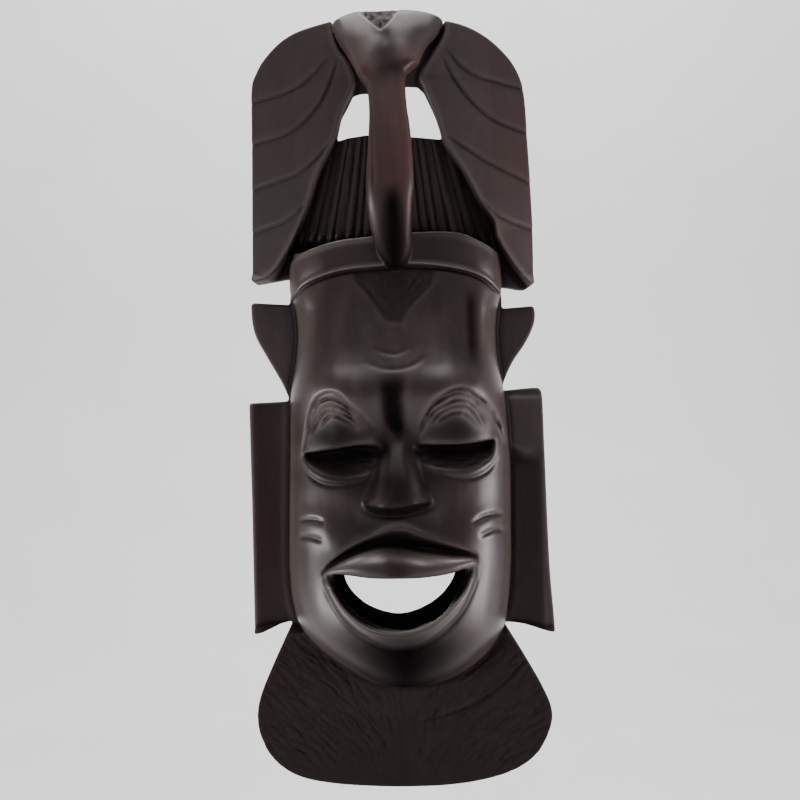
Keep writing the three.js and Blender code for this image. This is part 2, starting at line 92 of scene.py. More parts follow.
def hermite(xs_, ys_, x):
    """Smooth curve through points with rising xs_, evaluated at x."""
    xs_, ys_ = np.asarray(xs_, float), np.asarray(ys_, float)
    m = np.empty_like(ys_)
    m[1:-1] = (ys_[2:] - ys_[:-2]) / (xs_[2:] - xs_[:-2])
    m[0] = (ys_[1] - ys_[0]) / (xs_[1] - xs_[0])
    m[-1] = (ys_[-1] - ys_[-2]) / (xs_[-1] - xs_[-2])
    i = np.clip(np.searchsorted(xs_, x) - 1, 0, len(xs_) - 2)
    h = xs_[i + 1] - xs_[i]
    t = np.clip((x - xs_[i]) / h, 0, 1)
    t2, t3 = t * t, t * t * t
    return (
        (2 * t3 - 3 * t2 + 1) * ys_[i]
        + (t3 - 2 * t2 + t) * h * m[i]
        + (-2 * t3 + 3 * t2) * ys_[i + 1]
        + (t3 - t2) * h * m[i + 1]
    )


def curve(pairs):
    pairs = sorted(pairs)
    a = [p[0] for p in pairs]
    b = [p[1] for p in pairs]
    table_x = np.linspace(a[0], a[-1], 600)
    table_y = hermite(a, b, table_x)
    return lambda x: np.interp(x, table_x, table_y)


def spline(points, per=10, closed=False):
    """A dense polyline through the points."""
    p = np.asarray(points, float)
    if closed:
        p = np.vstack([p[-1], p, p[0], p[1]])
    else:
        p = np.vstack([2 * p[0] - p[1], p, 2 * p[-1] - p[-2]])
    out = []
    for i in range(1, len(p) - 2):
        t = np.linspace(0, 1, per, endpoint=False)[:, None]
        a, b, c, d = p[i - 1], p[i], p[i + 1], p[i + 2]
        out.append(0.5 * (2 * b + (c - a) * t + (2 * a - 5 * b + 4 * c - d) * t**2 + (3 * b - a - 3 * c + d) * t**3))
    if not closed:
        out.append(p[-2][None])
    return np.vstack(out)


# ------------------------------------------------------------------ rasters over x and v
RES = 0.25
XS = np.arange(-84, 84.01, RES)
VS = np.arange(-4, 404.01, RES)
X, V = np.meshgrid(XS, VS)  # [row of v, column of x]
AX = np.abs(X)
SHAPE = X.shape


def window(points, pad):
    p = np.asarray(points, float)
    i0, i1 = np.searchsorted(XS, [p[:, 0].min() - pad, p[:, 0].max() + pad])
    j0, j1 = np.searchsorted(VS, [p[:, 1].min() - pad, p[:, 1].max() + pad])
    return (slice(max(0, j0), min(len(VS), j1 + 1)), slice(max(0, i0), min(len(XS), i1 + 1)))


def line_field(points, pad, x=None, v=None):
    """Distance to a polyline, the place along it (0 to 1) and the signed side (left of its direction is positive)."""
    p = np.asarray(points, float)
    w = None
    if x is None:
        w = window(p, pad)
        x, v = X[w], V[w]
    best = np.full(x.shape, 1e9, np.float32)
    along = np.zeros(x.shape, np.float32)
    side = np.zeros(x.shape, np.float32)
    seg = np.diff(p, axis=0)
    ln = np.hypot(seg[:, 0], seg[:, 1])
    s0 = np.concatenate([[0], np.cumsum(ln)])
    for k in range(len(seg)):
        if ln[k] < 1e-9:
            continue
        dx, dv = seg[k] / ln[k]
        rx, rv = x - p[k, 0], v - p[k, 1]
        t = np.clip(rx * dx + rv * dv, 0, ln[k])
        cross = dx * rv - dv * rx
        d = np.hypot(rx - t * dx, rv - t * dv)
        near = d < best
        best = np.where(near, d, best)
        along = np.where(near, (s0[k] + t) / s0[-1], along)
        side = np.where(near, cross, side)
    return w, best, along, np.sign(side) * best


def ends(t, a=0.12, b=0.12):
    return clamp(t / a) ** 0.7 * clamp((1 - t) / b) ** 0.7


def polygon_sdf(points, coarse=2):
    """Signed distance to a closed polygon, negative inside."""
    p = np.asarray(points, float)
    x, v = X[::coarse, ::coarse], V[::coarse, ::coarse]
    best = np.full(x.shape, 1e9)
    inside = np.zeros(x.shape, bool)
    for k in range(len(p)):
        a, b = p[k], p[(k + 1) % len(p)]
        e = b - a
        L = e @ e
        if L < 1e-12:
            continue
        rx, rv = x - a[0], v - a[1]
        t = np.clip((rx * e[0] + rv * e[1]) / L, 0, 1)
        d = (rx - t * e[0]) ** 2 + (rv - t * e[1]) ** 2
        best = np.minimum(best, d)
        if a[1] != b[1]:
            cross = (a[1] > v) != (b[1] > v)
            inside ^= cross & (x < (b[0] - a[0]) * (v - a[1]) / (b[1] - a[1]) + a[0])
    d = np.sqrt(best) * np.where(inside, -1, 1)
    return resample(d, coarse)


def resample(d, coarse):
    out = np.empty(SHAPE)
    r = np.arange(SHAPE[0]) / coarse
    c = np.arange(SHAPE[1]) / coarse
    r0 = np.minimum(r.astype(int), d.shape[0] - 2)
    c0 = np.minimum(c.astype(int), d.shape[1] - 2)
    fr, fc = (r - r0)[:, None], (c - c0)[None, :]
    a = d[r0][:, c0] * (1 - fr) * (1 - fc) + d[r0 + 1][:, c0] * fr * (1 - fc)
    b = d[r0][:, c0 + 1] * (1 - fr) * fc + d[r0 + 1][:, c0 + 1] * fr * fc
    out[:] = a + b
    return out


def blur(a, sigma):
    """Gaussian blur, sigma in millimetres."""
    s = sigma / RES
    n = int(3 * s + 1)
    k = np.exp(-0.5 * (np.arange(-n, n + 1) / s) ** 2)
    k /= k.sum()
    out = np.zeros_like(a)
    pad = np.pad(a, ((n, n), (0, 0)), mode="edge")
    for i, w in enumerate(k):
        out += w * pad[i : i + a.shape[0]]
    pad = np.pad(out, ((0, 0), (n, n)), mode="edge")
    out = np.zeros_like(a)
    for i, w in enumerate(k):
        out += w * pad[:, i : i + a.shape[1]]
    return out


def noise2(cell_x, cell_v):
    """Smooth random field with cells of the given size, about -1 to 1."""
    nx, nv = int(168 / cell_x) + 4, int(408 / cell_v) + 4
    g = rng.uniform(-1, 1, (nv, nx))
    fx, fv = (XS + 84) / cell_x, (VS + 4) / cell_v
    ix, iv = fx.astype(int), fv.astype(int)
    tx, tv = fx - ix, fv - iv
    tx, tv = tx * tx * (3 - 2 * tx), tv * tv * (3 - 2 * tv)
    a = g[iv][:, ix] * (1 - tx) + g[iv][:, ix + 1] * tx
    b = g[iv + 1][:, ix] * (1 - tx) + g[iv + 1][:, ix + 1] * tx
    return a * (1 - tv[:, None]) + b * tv[:, None]


# ------------------------------------------------------------------ silhouette
OUTLINE = [
    (-2, 400), (13, 399.6), (24, 398.6), (34, 398), (43.2, 395.8), (52.7, 391), (61.1, 384), (66.3, 377.2),
    (69.9, 368.5), (71.3, 358), (71.9, 343.2), (72.9, 321.8), (73.8, 295), (73.6, 266), (72, 263),
    (68, 261), (60, 262.2), (56.8, 262.6), (56.8, 251.4), (73.4, 252.8), (74.2, 248), (73, 241.5), (68.5, 232.5),
    (61.9, 222.9), (57.2, 213), (56.5, 208.2), (73, 209.8), (76, 208.8), (76.9, 203), (77.6, 160), (78.6, 117.5),
    (80.6, 84), (79.6, 81.8), (66, 84), (54.6, 85.4), (64.5, 69.1), (74.6, 50.8), (78, 40.3), (76.8, 31), (71.2, 19.3),
    (60.5, 10.3), (44.7, 4.5), (23.6, 1), (-2.6, 0), (-34, 1.4), (-54.9, 5.4), (-67.8, 14), (-74.5, 25.6), (-76.3, 37.6),
    (-74, 49.7), (-66.8, 66.5), (-57.6, 86), (-67, 83.2), (-75.6, 80.8), (-76.9, 82.5), (-77, 149.3), (-77.3, 200),
    (-76.4, 201.6), (-57.4, 202.6), (-57.4, 205), (-60.4, 212.2), (-67.6, 225), (-73.2, 235.7), (-75.2, 244.3),
    (-75.6, 253), (-74.6, 254.4), (-55.1, 253.4), (-55.1, 267), (-63, 265.6), (-73, 263.8), (-74.5, 265.5),
    (-73.3, 337.9), (-72.8, 365.7), (-70.2, 374.3), (-65.3, 382), (-56.5, 390), (-45.8, 395), (-29.1, 398), (-15, 399.2),
]


def rounded(points, sharp_deg=38, per=6):
    """The outline as smooth runs between its sharp corners."""
    p = np.asarray(points, float)
    n = len(p)
    corner = []
    for i in range(n):
        a, b = p[i] - p[i - 1], p[(i + 1) % n] - p[i]
        ang = abs(math.degrees(math.atan2(a[0] * b[1] - a[1] * b[0], a @ b)))
        corner.append(ang > sharp_deg)
    start = corner.index(True)
    idx = [(start + k) % n for k in range(n + 1)]
    out, run = [], [p[idx[0]]]
    for k in idx[1:]:
        run.append(p[k])
        if corner[k]:
            out.append(spline(run, per)[:-1] if len(run) > 2 else np.asarray(run[:-1]))
            run = [p[k]]
    return np.vstack(out)


D = polygon_sdf(rounded(OUTLINE))
D = blur(D, 0.7)
W_POLY = [
    (-10, 361.6), (-15.5, 361.2), (-18.9, 360), (-21.2, 355.2), (-25.2, 348), (-27.9, 336.6), (-22, 338.6), (-13, 340.0), (0, 340.2),
    (11, 339.2), (26.6, 337.8), (25.3, 343), (23.7, 348), (21.7, 353), (19.9, 357), (17.6, 361.9), (14.5, 364.8), (8.8, 365), (0, 363),
]
W = blur(polygon_sdf(W_POLY), 0.5)

# ------------------------------------------------------------------ the carved front
WING_L = [(-28.4, 402), (-28.4, 394.2), (-25.5, 384.7), (-21.1, 377.8), (-18.1, 369.1), (-18.4, 363.4), (-24.2, 351.3), (-28.6, 337.3), (-37.1, 319.9), (-43.7, 300.6), (-53.1, 280.4), (-61.6, 268.2), (-70.8, 263.1), (-84, 262)]
WING_R = [(28.4, 402), (28.4, 392.6), (22.7, 382.4), (15.8, 370.6), (18.1, 363.4), (23.4, 349.3), (27.1, 336.1), (36.9, 320.9), (44.6, 305.7), (51.6, 295.6), (53.4, 286.5), (61.2, 273.3), (71.1, 262.1), (84, 256)]
_, _, _, wl = line_field(spline(WING_L, 6), 0, X, V)
_, _, _, wr = line_field(spline(WING_R, 6), 0, X, V)
# positive on the wing: outside the left line going down, outside the right line going down
in_wing = np.where(X < 0, -wl, wr)
if in_wing[np.searchsorted(VS, 320), np.searchsorted(XS, -60)] < 0:
    in_wing = np.where(X < 0, wl, in_wing)
if in_wing[np.searchsorted(VS, 320), np.searchsorted(XS, 60)] < 0:
    in_wing = np.where(X > 0, wr * -1, in_wing)

head_l = curve([(55, 0), (57.4, 16), (61, 24), (65.4, 30.9), (74.3, 43.7), (82.3, 51.4), (94.3, 56.1), (113.4, 58.2), (139, 57.8), (150.7, 57.5), (176.9, 56.6), (203, 55.6), (212, 54.6), (222, 52.6), (236, 51.2), (248, 52.0), (258, 54.4), (266, 54.6), (290, 53.5)])
head_r = curve([(55, 0), (56.4, 15.8), (61.3, 30.9), (70.4, 44.1), (82.3, 52.9), (97.2, 56.6), (118, 58.6), (139, 59.1), (150.7, 59.3), (177, 59.3), (203, 57.6), (213.5, 55.6), (226, 53.6), (240, 53.2), (252, 54.6), (262, 56.4), (290, 55)])
head_h = curve([(50, 18), (55, 24), (58, 34), (62, 41), (70, 48), (82, 52.6), (95, 54), (112, 53), (130, 50.5), (150, 48.5), (172, 46), (190, 47), (204, 50), (212, 50), (222, 47), (232, 44), (250, 39.5), (275, 36), (290, 34)])
head_p = curve([(50, 2.2), (100, 2.4), (150, 2.5), (200, 3.2), (230, 4.2), (290, 4.6)])


def head_t(x, v):
    return np.where(x < 0, -x / np.maximum(head_l(v), 0.5), x / np.maximum(head_r(v), 0.5))


def dome(x, v):
    t = head_t(x, v)
    return mix(9.0, head_h(v), np.sqrt(np.maximum(0, 1 - clamp(t) ** head_p(v)))) - 60.0 * np.maximum(t - 1.0, 0)


T = head_t(X, V)
in_head = (T < 1) & (V > 55) & (V < 282)

# plate
cap_in = clamp(1 - in_wing / -30.0)
cap = mix(22.5 - 6 * clamp(AX / np.maximum(20, 70 - 0.14 * (V - 100))) ** 2, 18.0, step(350, 364, V))
cap = mix(9.0, cap, np.maximum(step(272, 292, V) * step(60, 52, AX), step(300, 312, V)))
gutter = 6.6 + 8.0 * clamp((AX - 58) / 17) ** 1.9
gutter = np.where(X > 0, mix(gutter, 13.6 + 0.5 * bump(X - 56, 1.5), step(170, 178, V - 0.35 * np.maximum(0, 66 - X))), gutter)
ear = 10.5 + 1.2 * clamp((AX - 56) / 18)
beard = mix(mix(13.5, 17.5, step(4, 60, V)), 22.0, step(34, 62, V) * bump(X, 40))
plate = mix(mix(mix(beard, gutter, step(82, 85, V)), ear, step(203, 207, V)), cap, step(254, 263, V))

# wings: high along their inner edges, falling away outwards, each feather lapping the next
span = np.maximum(8.0, 74 - AX + np.maximum(in_wing, 0))
wing = mix(26.0, 11.5, clamp(np.maximum(in_wing, 0) / span) ** 0.9)
FEATHERS = [
    [(-27.5, 382), (-33, 377.5), (-38.4, 372.3), (-46.8, 366.1), (-59.0, 361.9), (-76, 358.5)],
    [(-25.4, 380), (-29.0, 370.7), (-36.6, 355.4), (-50.1, 343.1), (-67.5, 338.2), (-80, 336.5)],
    [(-29.5, 336.0), (-40.5, 325.2), (-48.9, 320.0), (-63.0, 315.9), (-80, 311.5)],
    [(-42.2, 305.3), (-53.5, 296.8), (-68.9, 291.8), (-80, 290.0)],
    [(28.4, 384), (31.4, 381.6), (36.5, 376.4), (45.4, 371.3), (55.8, 369.2), (78, 364.6)],
    [(26.2, 381.9), (29.2, 376.9), (36.1, 365.5), (46.0, 354.3), (58.1, 347.2), (78, 341.4)],
    [(27.6, 339.6), (44.5, 329.3), (54.8, 324.2), (79, 314.4)],
    [(45.7, 305.8), (50.3, 300.9), (58.4, 296.8), (79, 291.1)],
]
for f in FEATHERS:
    line = spline(f, 8)
    w, d, t, s = line_field(line, 26)
    up = s if f[0][0] < 0 else s  # left of the line's direction
    probe = np.unravel_index(np.argmin(np.hypot(X[w] - line[len(line) // 2][0], V[w] - line[len(line) // 2][1] - 5)), d.shape)
    if s[probe] < 0:
        up = -s
    fade = clamp(t / 0.18) * step(-4, 3, in_wing[w]) * (t < 0.9999) * (t > 0.0001)
    wing[w] += fade * (0.8 * np.exp(-np.maximum(up, 0) / 8.0) * step(-0.35, 0.35, up) - 0.45 * np.exp(-np.maximum(-up, 0) / 4.0) * step(0.35, -0.35, up))
    wing[w] -= clamp(t / 0.1) * 0.85 * np.exp(-((d / 0.62) ** 2))

# flutes of the cap, fanning out downwards
fan_v = 462.0
fan = X / np.maximum(30, (fan_v - V)) * 175.0  # constant along a flute, a millimetre at the band
fan = fan + 0.55 * np.sin(fan * 0.83 + 0.7) + 0.35 * np.sin(fan * 0.37 + V * 0.02)
flute = np.abs(np.sin(np.pi * (fan / 4.9 + 0.12)))
flutes = (2.3 + 0.5 * np.sin(fan * 0.6 + 2)) * (flute**0.5) - 1.2 + 0.25 * noise2(3.0, 30)
on_cap = step(283, 286, V) * step(342.5, 341.5, V) * step(0.5, -1.5, in_wing)
plate = plate + on_cap * flutes + on_cap * 0.22 * noise2(1.2, 12)

H = mix(plate, np.maximum(plate * 0 + wing, 9.5), step(-0.7, 0.7, in_wing) * step(250, 262, V))

# head
head = dome(X, V)
head += 1.3 * bump(AX - 44.5, 4.6) * step(208, 226, V) * step(266, 250, V) - 1.3 * bump(X - 36.5, 4.2) * step(210, 228, V) * step(264, 246, V) - 0.9 * bump(X + 35, 6) * step(210, 230, V) * step(266, 244, V)
head += (3.8 * bump(X + 27, 14) * bump(V - 205, 10) + 4.3 * bump(X - 30, 15) * bump(V - 207, 10)) * step(1.0, 0.8, T)
head += 4.6 * bump(X, 31) * bump(V - 100, 22) * step(1.0, 0.7, T)
head -= 2.2 * bump(AX - 17, 9) * bump(V - 140, 7)  # hollow beside the nose
head += 2.2 * bump(AX - 41, 9) * bump(V - 139, 6) * step(1.0, 0.8, T)  # cheek under the scars
k_join = mix(1.0, 4.5, step(80, 92, V)) * step(282, 270, V) + 0.2
gap_ = np.abs(H - head)
H = np.where((V > 53) & (V < 279), np.maximum(H, head) + np.maximum(k_join - gap_, 0) ** 2 / (4 * k_join), H)
skin = head.copy()

# band
band_top = curve([(-60, 270), (-47.1, 277.8), (-40.5, 280.4), (-27.3, 283.9), (-13.3, 285.6), (-1.4, 286.9), (11.8, 288.0), (32.5, 288.0), (42.5, 284.9), (51.6, 280.9), (60, 276)])
band_low = curve([(-60, 249), (-53.0, 254.6), (-44.9, 261.4), (-27.6, 267.4), (-7.8, 269.8), (12.4, 270.9), (32.1, 268.8), (44.2, 265.3), (53.1, 259.4), (60, 254)])
bt, bl = band_top(X), band_low(X)
q = clamp((V - bl) / (bt - bl))
band_h = mix(9.0, 36.0, np.sqrt(np.maximum(0, 1 - clamp(np.abs(T) * 0.995) ** 4.4))) + 2.2 + 1.0 * (1 - (2 * q - 1) ** 2) + 0.7 * bump(q - 0.06, 0.05)
band_m = step(-0.25, 0.25, V - bl) * step(0.35, -0.35, V - bt) * step(1.0, 0.992, T)
H = np.where(band_m > 0.001, mix(np.minimum(H, band_h), band_h, band_m), H)
H -= 1.0 * np.exp(-(((V - bl + 0.7) / 0.8) ** 2)) * step(1.0, 0.96, T) * step(240, 250, V)

# furrow
w, d, t, s = line_field(spline([(-1.4, 217), (-1.8, 210), (-2.0, 203.0), (-1.0, 193.9), (2.0, 181.5)]), 16)
fw = np.maximum(0.9, mix(5.8, 4.8, clamp(t)) * step(1.12, 0.55, t))
furrow_dark = np.zeros(SHAPE)
furrow_dark[w] = np.exp(-((d / (1.12 * fw)) ** 4)) * step(0, 0.25, t) * step(1.0, 0.75, t)
H[w] -= 2.3 * np.exp(-((d / fw) ** 2)) * step(0, 0.4, t) * step(1.0, 0.6, t)


def groove(points, depth, half, pad=5, fade=(0.15, 0.15), keep=None):
    line = spline(points, 8)
    w, d, t, s = line_field(line, pad)
    g = depth * np.exp(-((d / half) ** 2)) * ends(t, *fade)
    if keep is not None:
        g = g * keep[w]
    H[w] -= g


# hair patch under the band, rough, with a few curved cuts on its right
hair_poly = [(-20.5, 272), (-19.7, 263.6), (-9.5, 251), (-4.3, 242.6), (2.6, 241.8), (8.8, 251.2), (20.1, 265.6), (21, 272)]
hair = polygon_sdf(hair_poly, 4)
hair_m = step(1.6, -0.8, hair) * step(0.5, -0.5, V - bl)
H -= blur(hair_m, 0.8) * (0.3 + 0.22 * noise2(0.9, 3.5) + 0.12 * noise2(2.5, 2.5))
for g in ([(20.5, 266.4), (16.9, 260.2), (9.2, 252.5), (4, 247)], [(16.1, 265.4), (12.5, 260.2), (7.5, 255.3)], [(11.5, 266), (9, 261), (5, 257)], [(-16, 262), (-10, 254), (-6, 248)]):
    groove(g, 0.9, 0.75, fade=(0.25, 0.5))

# wrinkles
groove([(-12, 229.6), (-9.3, 227.9), (-1.0, 225.7), (3.5, 227.1), (8.8, 229.4)], 0.3, 1.0, fade=(0.4, 0.3))
groove([(-17, 223.2), (-14.1, 221.2), (-4.3, 218.1), (7.0, 219.5), (15.5, 224.8)], 0.34, 1.1, fade=(0.5, 0.15))

# brows: the forehead ends in an arched ledge over an engraved band
BROW = {
    "l": [(-49.5, 172), (-48.0, 179.6), (-44.7, 193.2), (-40.7, 202.5), (-34.6, 206.7), (-28.7, 206.0), (-23.4, 201.5), (-15.2, 194.1), (-9.4, 187.2)],
    "r": [(6.2, 178.6), (10.2, 190.2), (16.5, 200.7), (22.5, 206.0), (29.4, 209.4), (35.5, 208.6), (42.9, 201.5), (49.5, 193.9), (54.4, 180.4)],
}
for key, pts in BROW.items():
    w, d, t, s = line_field(spline(pts, 8), 14)
    below = -s if key == "l" else -s
    c = pts[4]
    probe = np.unravel_index(np.argmin(np.hypot(X[w] - c[0], V[w] - (c[1] - 5))), d.shape)
    if below[probe] < 0:
        below = -below
    f = ends(t, 0.42, 0.3) * (V[w] > 172)
    H[w] -= f * 1.7 * step(-0.5, 0.5, below) * np.exp(-np.maximum(below, 0) / 9.0)
    H[w] += f * 0.06 * np.exp(-((np.maximum(-below, 0) / 1.8) ** 2)) * step(0.4, -0.4, below)
    H[w] -= f * 0.5 * np.exp(-((d / 0.6) ** 2))
BROW_CUTS = [
    [(-46.3, 181.5), (-43.9, 190), (-41.4, 197.4), (-38.3, 201.7), (-33.5, 203.7), (-28, 202.4), (-22, 197.6), (-16, 191.5)],
    [(-44.6, 180.5), (-41.8, 190.4), (-39.0, 196.4), (-33.5, 200.4), (-27.3, 199.3), (-21.0, 194.8), (-15.5, 190)],
    [(-41.8, 187), (-39.3, 193), (-34.8, 197.2), (-29.5, 197.4), (-23.2, 194.6), (-16.8, 189.8)],
    [(-38.6, 189.5), (-34.8, 193.8), (-30, 194.8), (-24.6, 192.6), (-19, 189)],
    [(10.4, 184), (13.0, 191.9), (18.2, 199.6), (24.8, 204.5), (31.5, 206.4), (37.8, 203.4), (43.4, 197.6), (48.4, 190)],
    [(12.6, 187), (15.2, 192.6), (19.7, 197.8), (25.6, 201.8), (31.2, 203.4), (37.0, 200.8), (42.3, 195.1), (46.6, 188.6)],
    [(16.3, 191.2), (21.7, 196.5), (27.2, 199.6), (32.4, 200.0), (37.4, 196.6), (42.5, 190)],
    [(19.6, 191.6), (24.6, 195.6), (30, 197), (35.4, 194.4), (39.4, 190.2)],
    [(36.4, 206.9), (42.5, 203.0), (48.0, 196.8), (52.6, 189.6), (55.2, 182.8)],
    [(40.8, 204.4), (46.6, 200), (50.8, 194.0), (53.7, 186.2)],
]
brow_grooves = []
for i, b in enumerate(BROW_CUTS):
    brow_grooves.append((b, 1.25 if i not in (3, 7) else 0.8))

# upper lids: a smooth swelling that ends in a sharp overhanging edge
LID_L = [(-50.5, 175.2), (-48.0, 175.8), (-42, 176.4), (-35.2, 177.4), (-29, 178.4), (-23.8, 179.4), (-15.5, 180.2), (-9.6, 178.6), (-6.5, 175)]
LID_R = [(7.4, 177), (10.6, 179.6), (17.0, 180.4), (25.1, 180.4), (31, 180.5), (36.4, 180.9), (42, 181.6), (47.5, 182.6), (51.5, 183.3)]
LOW1 = [[(-48.6, 173.6), (-46.3, 171.4), (-42.2, 168.6), (-35.6, 166.2), (-27.7, 165.3), (-20.5, 165.7), (-13.8, 168.0), (-9.4, 172)], [(9.6, 174.8), (12.5, 172.4), (17.3, 170.4), (26.7, 169.2), (35, 169.4), (41.0, 170.6), (46.5, 173.4), (50.5, 178)]]
LOW2 = [[(-49.3, 170.5), (-45, 165.4), (-37.7, 161.3), (-27.3, 160.4), (-19, 161.6), (-12.9, 164.0)], [(18.7, 167.8), (24.8, 165.2), (31, 163.9), (37.1, 164.2), (43, 166.1), (47.6, 169.6), (51.4, 175.6)]]
lid_v = [curve([(p[0], p[1]) for p in LID_L]), curve([(p[0], p[1]) for p in LID_R])]
low_v = [curve([(p[0], p[1]) for p in LOW1[0]]), curve([(p[0], p[1]) for p in LOW1[1]])]
for k, (x0, x1) in enumerate([(-49.5, -6.5), (7.5, 50.8)]):
    up, lo = lid_v[k](X), low_v[k](X)
    span_x = step(x0, x0 + 5, X) * step(x1, x1 - 5, X)
    mid = (x0 + x1) / 2
    H += 1.7 * bump(X - mid, 15) * bump(V - (up + 6.5), 6.5) * step(-0.6, 0.6, V - up) * span_x
    H += 0.5 * np.exp(-((np.maximum(V - up, 0) / 1.6) ** 2)) * step(-0.3, 0.3, V - up) * span_x * (V < up + 8)
    inside = step(0.5, -0.5, V - up) * step(-2.0, 2.0, V - lo)
    deep = clamp((V - lo + 1.0) / np.maximum(3.5, up - lo + 1.0)) ** 0.8
    H -= inside * span_x * 7.6 * deep * step(0.0, 11.0, up - lo)
for pts in LOW1:
    groove(pts, 0.55, 1.1, fade=(0.2, 0.2))
for pts in LOW2:
    groove(pts, 0.8, 1.05, fade=(0.25, 0.2))
for k, (a, b) in enumerate(zip(LOW1, LOW2)):
    m = [mix(np.array(a[int(i)]), np.array(b[int(j)]), 0.5) for i, j in zip(np.linspace(1, len(a) - 2, 5), np.linspace(0, len(b) - 1, 5))]
    w, d, t, s = line_field(spline(m, 8), 9)
    H[w] += 0.75 * np.exp(-((d / 2.3) ** 2)) * ends(t, 0.4, 0.4)

# nose: a broad flat ridge, its sides easing into the cheeks, cut square underneath
n_out = curve([(140, 17.4), (151.5, 17.2), (157, 14.2), (161.5, 12.6), (170, 10.4), (179.6, 8.2), (190, 7.0), (200, 6)])(V)
n_ridge = curve([(140, 63), (148, 63.4), (152, 64.0), (158, 62.4), (165, 59.2), (173, 54.6), (180, 50.6), (186, 48.6), (196, 48)])(V)
base_v = curve([(-22, 153.4), (-17.2, 151.2), (-12.5, 149.1), (-7.7, 148.1), (1.7, 148.6), (9.2, 150.2), (16.5, 152.4), (22, 155)])(X)
nose = n_ridge - 0.009 * X**2 - 1.5 * np.exp(-np.maximum(V - base_v, 0) / 1.8)
nose_m = step(-0.9, 0.4, V - base_v) * step(195, 176, V) * (1 - clamp(AX / n_out) ** 4.2) ** 1.2
nose_m = np.where(V < 154, nose_m, blur(nose_m, 0.8))
H = mix(H, np.maximum(H, nose), nose_m)
root = bump(X, 9) * bump(V - 182, 8)
H = mix(H, blur(H, 1.5), clamp(root * 1.6))
H = mix(H, blur(H, 1.3), step(23, 19, AX) * step(145, 147, V) * step(162, 157, V))
H = mix(H, blur(H, 1.2), clamp(1.5 * (bump(X + 7.5, 3.5) + bump(X - 8.5, 3.5)) * bump(V - 178, 5)))
H -= 1.1 * np.exp(-(((V - base_v + 1.8) / 1.7) ** 2)) * step(19.5, 14, AX) * (V < 154)

# scars on the cheeks
for pts in ([(-51.1, 141.4), (-44.0, 142.9), (-37.0, 142.2)], [(-51.4, 133.4), (-44.7, 134.1), (-37.9, 133.0)], [(36.0, 141.8), (44.4, 145.0), (54.1, 145.2)], [(39.9, 135.0), (47.1, 137.4), (53.9, 136.4)]):
    groove(pts, 1.6, 1.25, fade=(0.3, 0.25))

# mouth: a deep cut over the upper lip, the lip, and the raised rim of the lower lip
ridge_v = curve([(-40, 116), (-37.4, 118.2), (-32.1, 122.5), (-22.8, 127.4), (-14.4, 130.2), (-6.1, 131.9), (1.4, 131.6), (10.5, 129.3), (25.2, 127.1), (34.5, 126.0), (38.2, 124.4), (40, 122)])
arch_v = curve([(-41, 115), (-37.7, 119.0), (-25.8, 129.2), (-13.5, 136.2), (-0.3, 140.8), (11.8, 137.2), (25.6, 131.4), (38.6, 125.6), (41, 123)])
top_v = curve([(-38, 116.9), (-26.7, 117.5), (-14.7, 116.7), (-2.6, 116.5), (11.9, 117.0), (25.6, 118.6), (37.5, 121.4)])
rv, av, tv = ridge_v(X), arch_v(X), top_v(X)
in_lip = step(-39.5, -35.5, X) * step(40.0, 36.5, X)
cent = np.sqrt(np.maximum(0, 1 - (clamp(np.abs(X) / 39.5)) ** 2))
s = V - rv
A = np.maximum(1.2, av - rv)
cut = mix(1.2, 7.2, cent**1.6)
H -= in_lip * cut * clamp(1 - s / A) ** 1.1 * step(-0.2, 0.2, s) * (V < av + 0.5)
H -= in_lip * 0.7 * np.exp(-(((V - av) / 1.1) ** 2)) * cent
lip_w = np.maximum(3.0, rv - tv)
ql = clamp(-s / lip_w)
lip_base = mix(head_h(rv) * 0 + dome(X, rv), dome(X, tv), ql) + 4.6 * bump(X, 31) * bump(V - 100, 22)
swell = mix(2.2, 7.6, cent**1.2)
rise = 1 - (1 - clamp(ql / 0.62)) ** 2.0
lip = lip_base - cut * 0.9 * (1 - clamp(ql / 0.2)) ** 2 + swell * rise - 2.0 * clamp((ql - 0.6) / 0.4) ** 2.0
lip -= 3.0 * bump(X + 0.5, 5.4) * bump(V - 125.0, 6.5)
lip_m = in_lip * step(0.25, -0.25, s) * (V > tv - 7)
H = mix(H, lip, lip_m * step(tv - 7, tv - 4, V) if False else lip_m)

LOW_IN = [(-37.4, 117.8), (-36.0, 113.6), (-28.0, 101.4), (-17.1, 93.3), (-3.2, 90.4), (8, 92.3), (15.3, 95.7), (29.6, 106.8), (36.2, 117.8), (38.0, 123.0)]
LOW_OUT = [(-39.4, 117.0), (-38.3, 112.6), (-33.2, 102.6), (-26.6, 93.6), (-14.5, 84.8), (-1.6, 80.9), (13.3, 84.9), (27.7, 96.5), (36.4, 111.1), (39.6, 122.8)]
wi, di, ti, si = line_field(spline(LOW_IN, 8), 14)
_, do_, to, so = line_field(spline(LOW_OUT, 8), 0, X[wi], V[wi])
# both lines run left to right along the bottom, so below them is negative
if si[np.unravel_index(np.argmin(np.hypot(X[wi] + 1, V[wi] - 85)), di.shape)] > 0:
    si = -si
if so[np.unravel_index(np.argmin(np.hypot(X[wi] + 1, V[wi] - 75)), di.shape)] > 0:
    so = -so
ql = clamp(-si / np.maximum(0.4, -si + so))  # 0 at the inner edge, 1 at the outer
rim = (si < 0.8) & (so > -1.2) & (V[wi] < 124.5)
rh = mix(1.6, 5.6, clamp(np.sin(np.pi * clamp(ti))) ** 0.8)
prof = rh * (1 - ql**1.7) * step(1.2, -0.1, si) - 0.9 * np.exp(-((so / 0.9) ** 2)) * (so > -3)
rim_h = np.zeros(SHAPE)
rim_h[wi] = np.where(rim | (np.abs(so) < 3) & (V[wi] < 120), prof, 0) * step(3.0, -1.0, V[wi] - tv[wi]) * step(0.02, 0.10, ti) * step(0.98, 0.90, ti)
